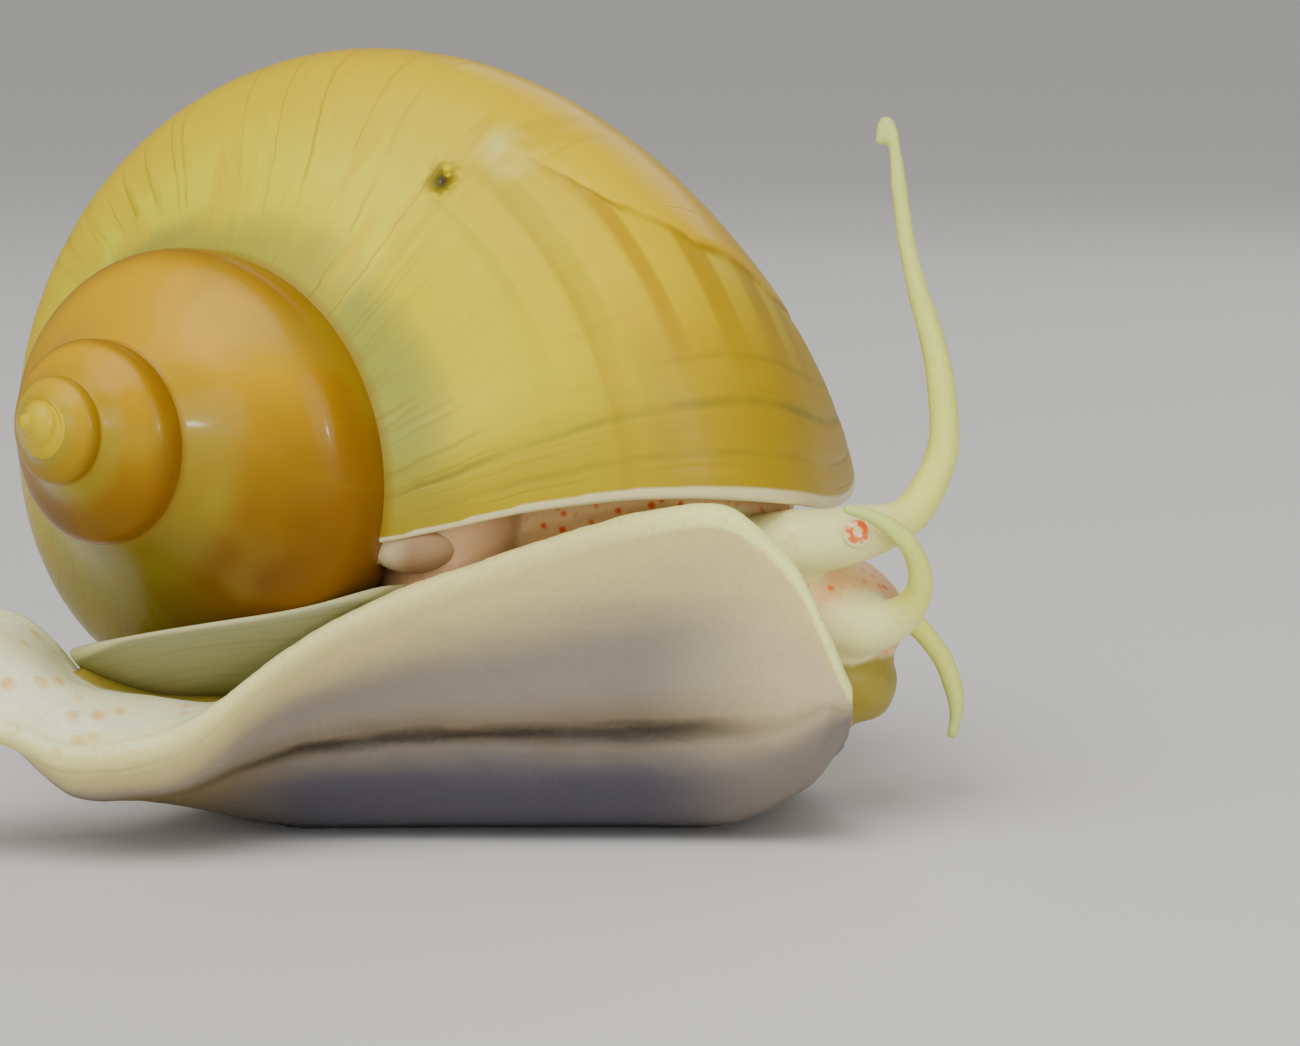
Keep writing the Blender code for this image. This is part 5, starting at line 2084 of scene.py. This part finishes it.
@dataclass
class Eye:
    """One eye, a low wet dome in the side of its stalk.

    Attributes:
        centre: The dome's middle.
        look: Direction that it faces.
        flatness: Its height as a share of a ball's.
        back: Measure of its hidden back, past any colour.
    """

    name: str
    centre: Row
    look: Row
    radius: float = 0.86
    flatness: float = 0.45
    back: float = 1.4
    sides: int = 40
    rings: int = 24

    def build(self, finish: bpy.types.Material) -> bpy.types.Object:
        """Makes the dome and marks how far each point is from its middle.

        Args:
            finish: The eye's material.

        Returns:
            The eye.
        """
        bpy.ops.object.select_all(action="DESELECT")
        bpy.ops.mesh.primitive_uv_sphere_add(
            segments=self.sides, ring_count=self.rings, radius=self.radius, location=(0.0, 0.0, 0.0)
        )
        piece = bpy.context.view_layer.objects.active
        piece.name = self.name
        piece.data.name = self.name
        points = points_of(piece.data)
        outward = np.hypot(points[:, 0], points[:, 1]) / self.radius
        outward = np.where(points[:, 2] > 0.0, outward, self.back)
        points[:, 2] *= self.flatness
        turn = Vector((0.0, 0.0, 1.0)).rotation_difference(Vector(self.look))
        turned = np.array([turn @ Vector(p) + Vector(self.centre) for p in points])
        piece.data.vertices.foreach_set("co", turned.ravel())
        set_mark(piece.data, Mark.OUTWARD, outward)
        settle(piece)
        piece.data.materials.append(finish)
        return piece


@dataclass
class Studio:
    """Pale floor, soft lights and the camera at the photograph's viewing angle.

    Attributes:
        eye: The camera's place in the frame, in millimetres.
        aim: The point that it looks at.
        lamps: Name, place in metres, size and power of each soft lamp.
    """

    eye: Row = (12.94, -252.89, 46.7)
    aim: Row = (12.94, -4.79, 16.2)
    focal_pixels: float = 4500.0
    image_width: float = 1300.0
    sensor: float = 36.0
    floor_half: float = 40.0
    floor_drop: float = 0.00002
    near_clip: float = 0.01
    far_clip: float = 100.0
    lamp_aim: Row = (0.0, 0.0, 0.02)
    lamps: tuple[tuple[str, Row, float, float], ...] = (
        ("key", (-0.16, -0.26, 0.46), 0.50, 1.6),
        ("front", (0.16, -0.46, 0.10), 0.36, 0.85),
        ("back", (0.20, 0.40, 0.35), 0.40, 0.5),
        ("glint", (0.115, -0.285, 0.05), 0.018, 0.10),
    )
    sun_tilt: Row = (0.75, 0.1, -0.4)
    sun_power: float = 1.0
    sun_spread: float = math.radians(40.0)
    room_light: float = 0.25
    room_colour: Colour = (1.0, 0.99, 0.96)

    def build(self) -> None:
        """Sets floor, lights, sky and camera."""
        self.lay_floor()
        for name, place, size, power in self.lamps:
            self.hang_lamp(name, place, size, power)
        self.hang_sun()
        self.light_sky()
        self.set_camera()

    def lay_floor(self) -> None:
        """Lays the floor just under the sole."""
        bpy.ops.object.select_all(action="DESELECT")
        place = (0.0, 0.0, -self.floor_drop)
        bpy.ops.mesh.primitive_plane_add(size=2.0 * self.floor_half, location=place)
        floor = bpy.context.view_layer.objects.active
        floor.name = "floor"
        floor.data.materials.append(FloorFinish().make())
        floor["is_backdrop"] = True

    def hang_lamp(self, name: str, place: Row, size: float, power: float) -> None:
        """Hangs one soft lamp, aimed at the snail.

        Args:
            name: The lamp's name.
            place: Where it hangs, in metres.
            size: Its side, in metres.
            power: Its power, in watts.
        """
        data = bpy.data.lights.new(name, "AREA")
        data.shape = "DISK"
        data.size = size
        data.energy = power
        lamp = bpy.data.objects.new(name, data)
        lamp.location = place
        aim = Vector(self.lamp_aim) - Vector(place)
        lamp.rotation_euler = aim.to_track_quat("-Z", "Y").to_euler()
        bpy.context.scene.collection.objects.link(lamp)

    def hang_sun(self) -> None:
        """Adds a broad even light, which reaches the whole floor."""
        data = bpy.data.lights.new("even", "SUN")
        data.energy = self.sun_power
        data.angle = self.sun_spread
        lamp = bpy.data.objects.new("even", data)
        lamp.rotation_euler = self.sun_tilt
        bpy.context.scene.collection.objects.link(lamp)

    def light_sky(self) -> None:
        """Gives the room an even pale light."""
        world = bpy.data.worlds.new("room")
        world.use_nodes = True
        background = world.node_tree.nodes["Background"]
        background.inputs["Color"].default_value = (*self.room_colour, 1.0)
        background.inputs["Strength"].default_value = self.room_light
        bpy.context.scene.world = world

    def set_camera(self) -> None:
        """Puts the camera where the photograph was taken from."""
        data = bpy.data.cameras.new("camera")
        data.sensor_width = self.sensor
        data.lens = self.focal_pixels / self.image_width * self.sensor
        data.clip_start = self.near_clip
        data.clip_end = self.far_clip
        camera = bpy.data.objects.new("camera", data)
        camera.location = Vector(self.eye) * MM
        aim = (Vector(self.aim) - Vector(self.eye)) * MM
        camera.rotation_euler = aim.to_track_quat("-Z", "Y").to_euler()
        bpy.context.scene.collection.objects.link(camera)
        bpy.context.scene.camera = camera


def fit(piece: bpy.types.Object, nodes: Sequence[str]) -> None:
    """Puts a finished piece on the frame in place of the nodes that it stands for.

    Args:
        piece: The finished piece.
        nodes: The nodes that it replaces.
    """
    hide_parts(*nodes)
    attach(piece, "root")
    LOG.info("%s: %d faces, for %s", piece.name, len(piece.data.polygons), ", ".join(nodes))


def corners(box: Sequence[Vector]) -> list[list[float]]:
    """A box's two corners as plain lists."""
    return [[float(c) for c in corner] for corner in box]


def main() -> None:
    """Builds the snail around the frame, in order."""
    logging.basicConfig(level=logging.INFO, format="%(name)s: %(message)s")
    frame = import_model()
    cad_box = corners(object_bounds())
    solid = {"shell", "operculum", "eye_left", "eye_right"}
    flesh = [name for name in sorted(frame["nodes"]) if name not in solid]
    Studio().build()
    fit(Shell().build(), ["shell"])
    fit(Flesh().build(), flesh)
    fit(Operculum().build(), ["operculum"])
    wet = EyeFinish().make()
    right = Eye(name="wet_eye_right", centre=(11.1, -8.55, 16.74), look=(0.07, -0.96, 0.26))
    left = Eye(name="wet_eye_left", centre=(8.1, 12.1, 15.15), look=(0.55, -0.1, 0.83))
    fit(right.build(wet), ["eye_right"])
    fit(left.build(wet), ["eye_left"])
    {"cad": cad_box, "visual": corners(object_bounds())}


if __name__ == "__main__":
    main()
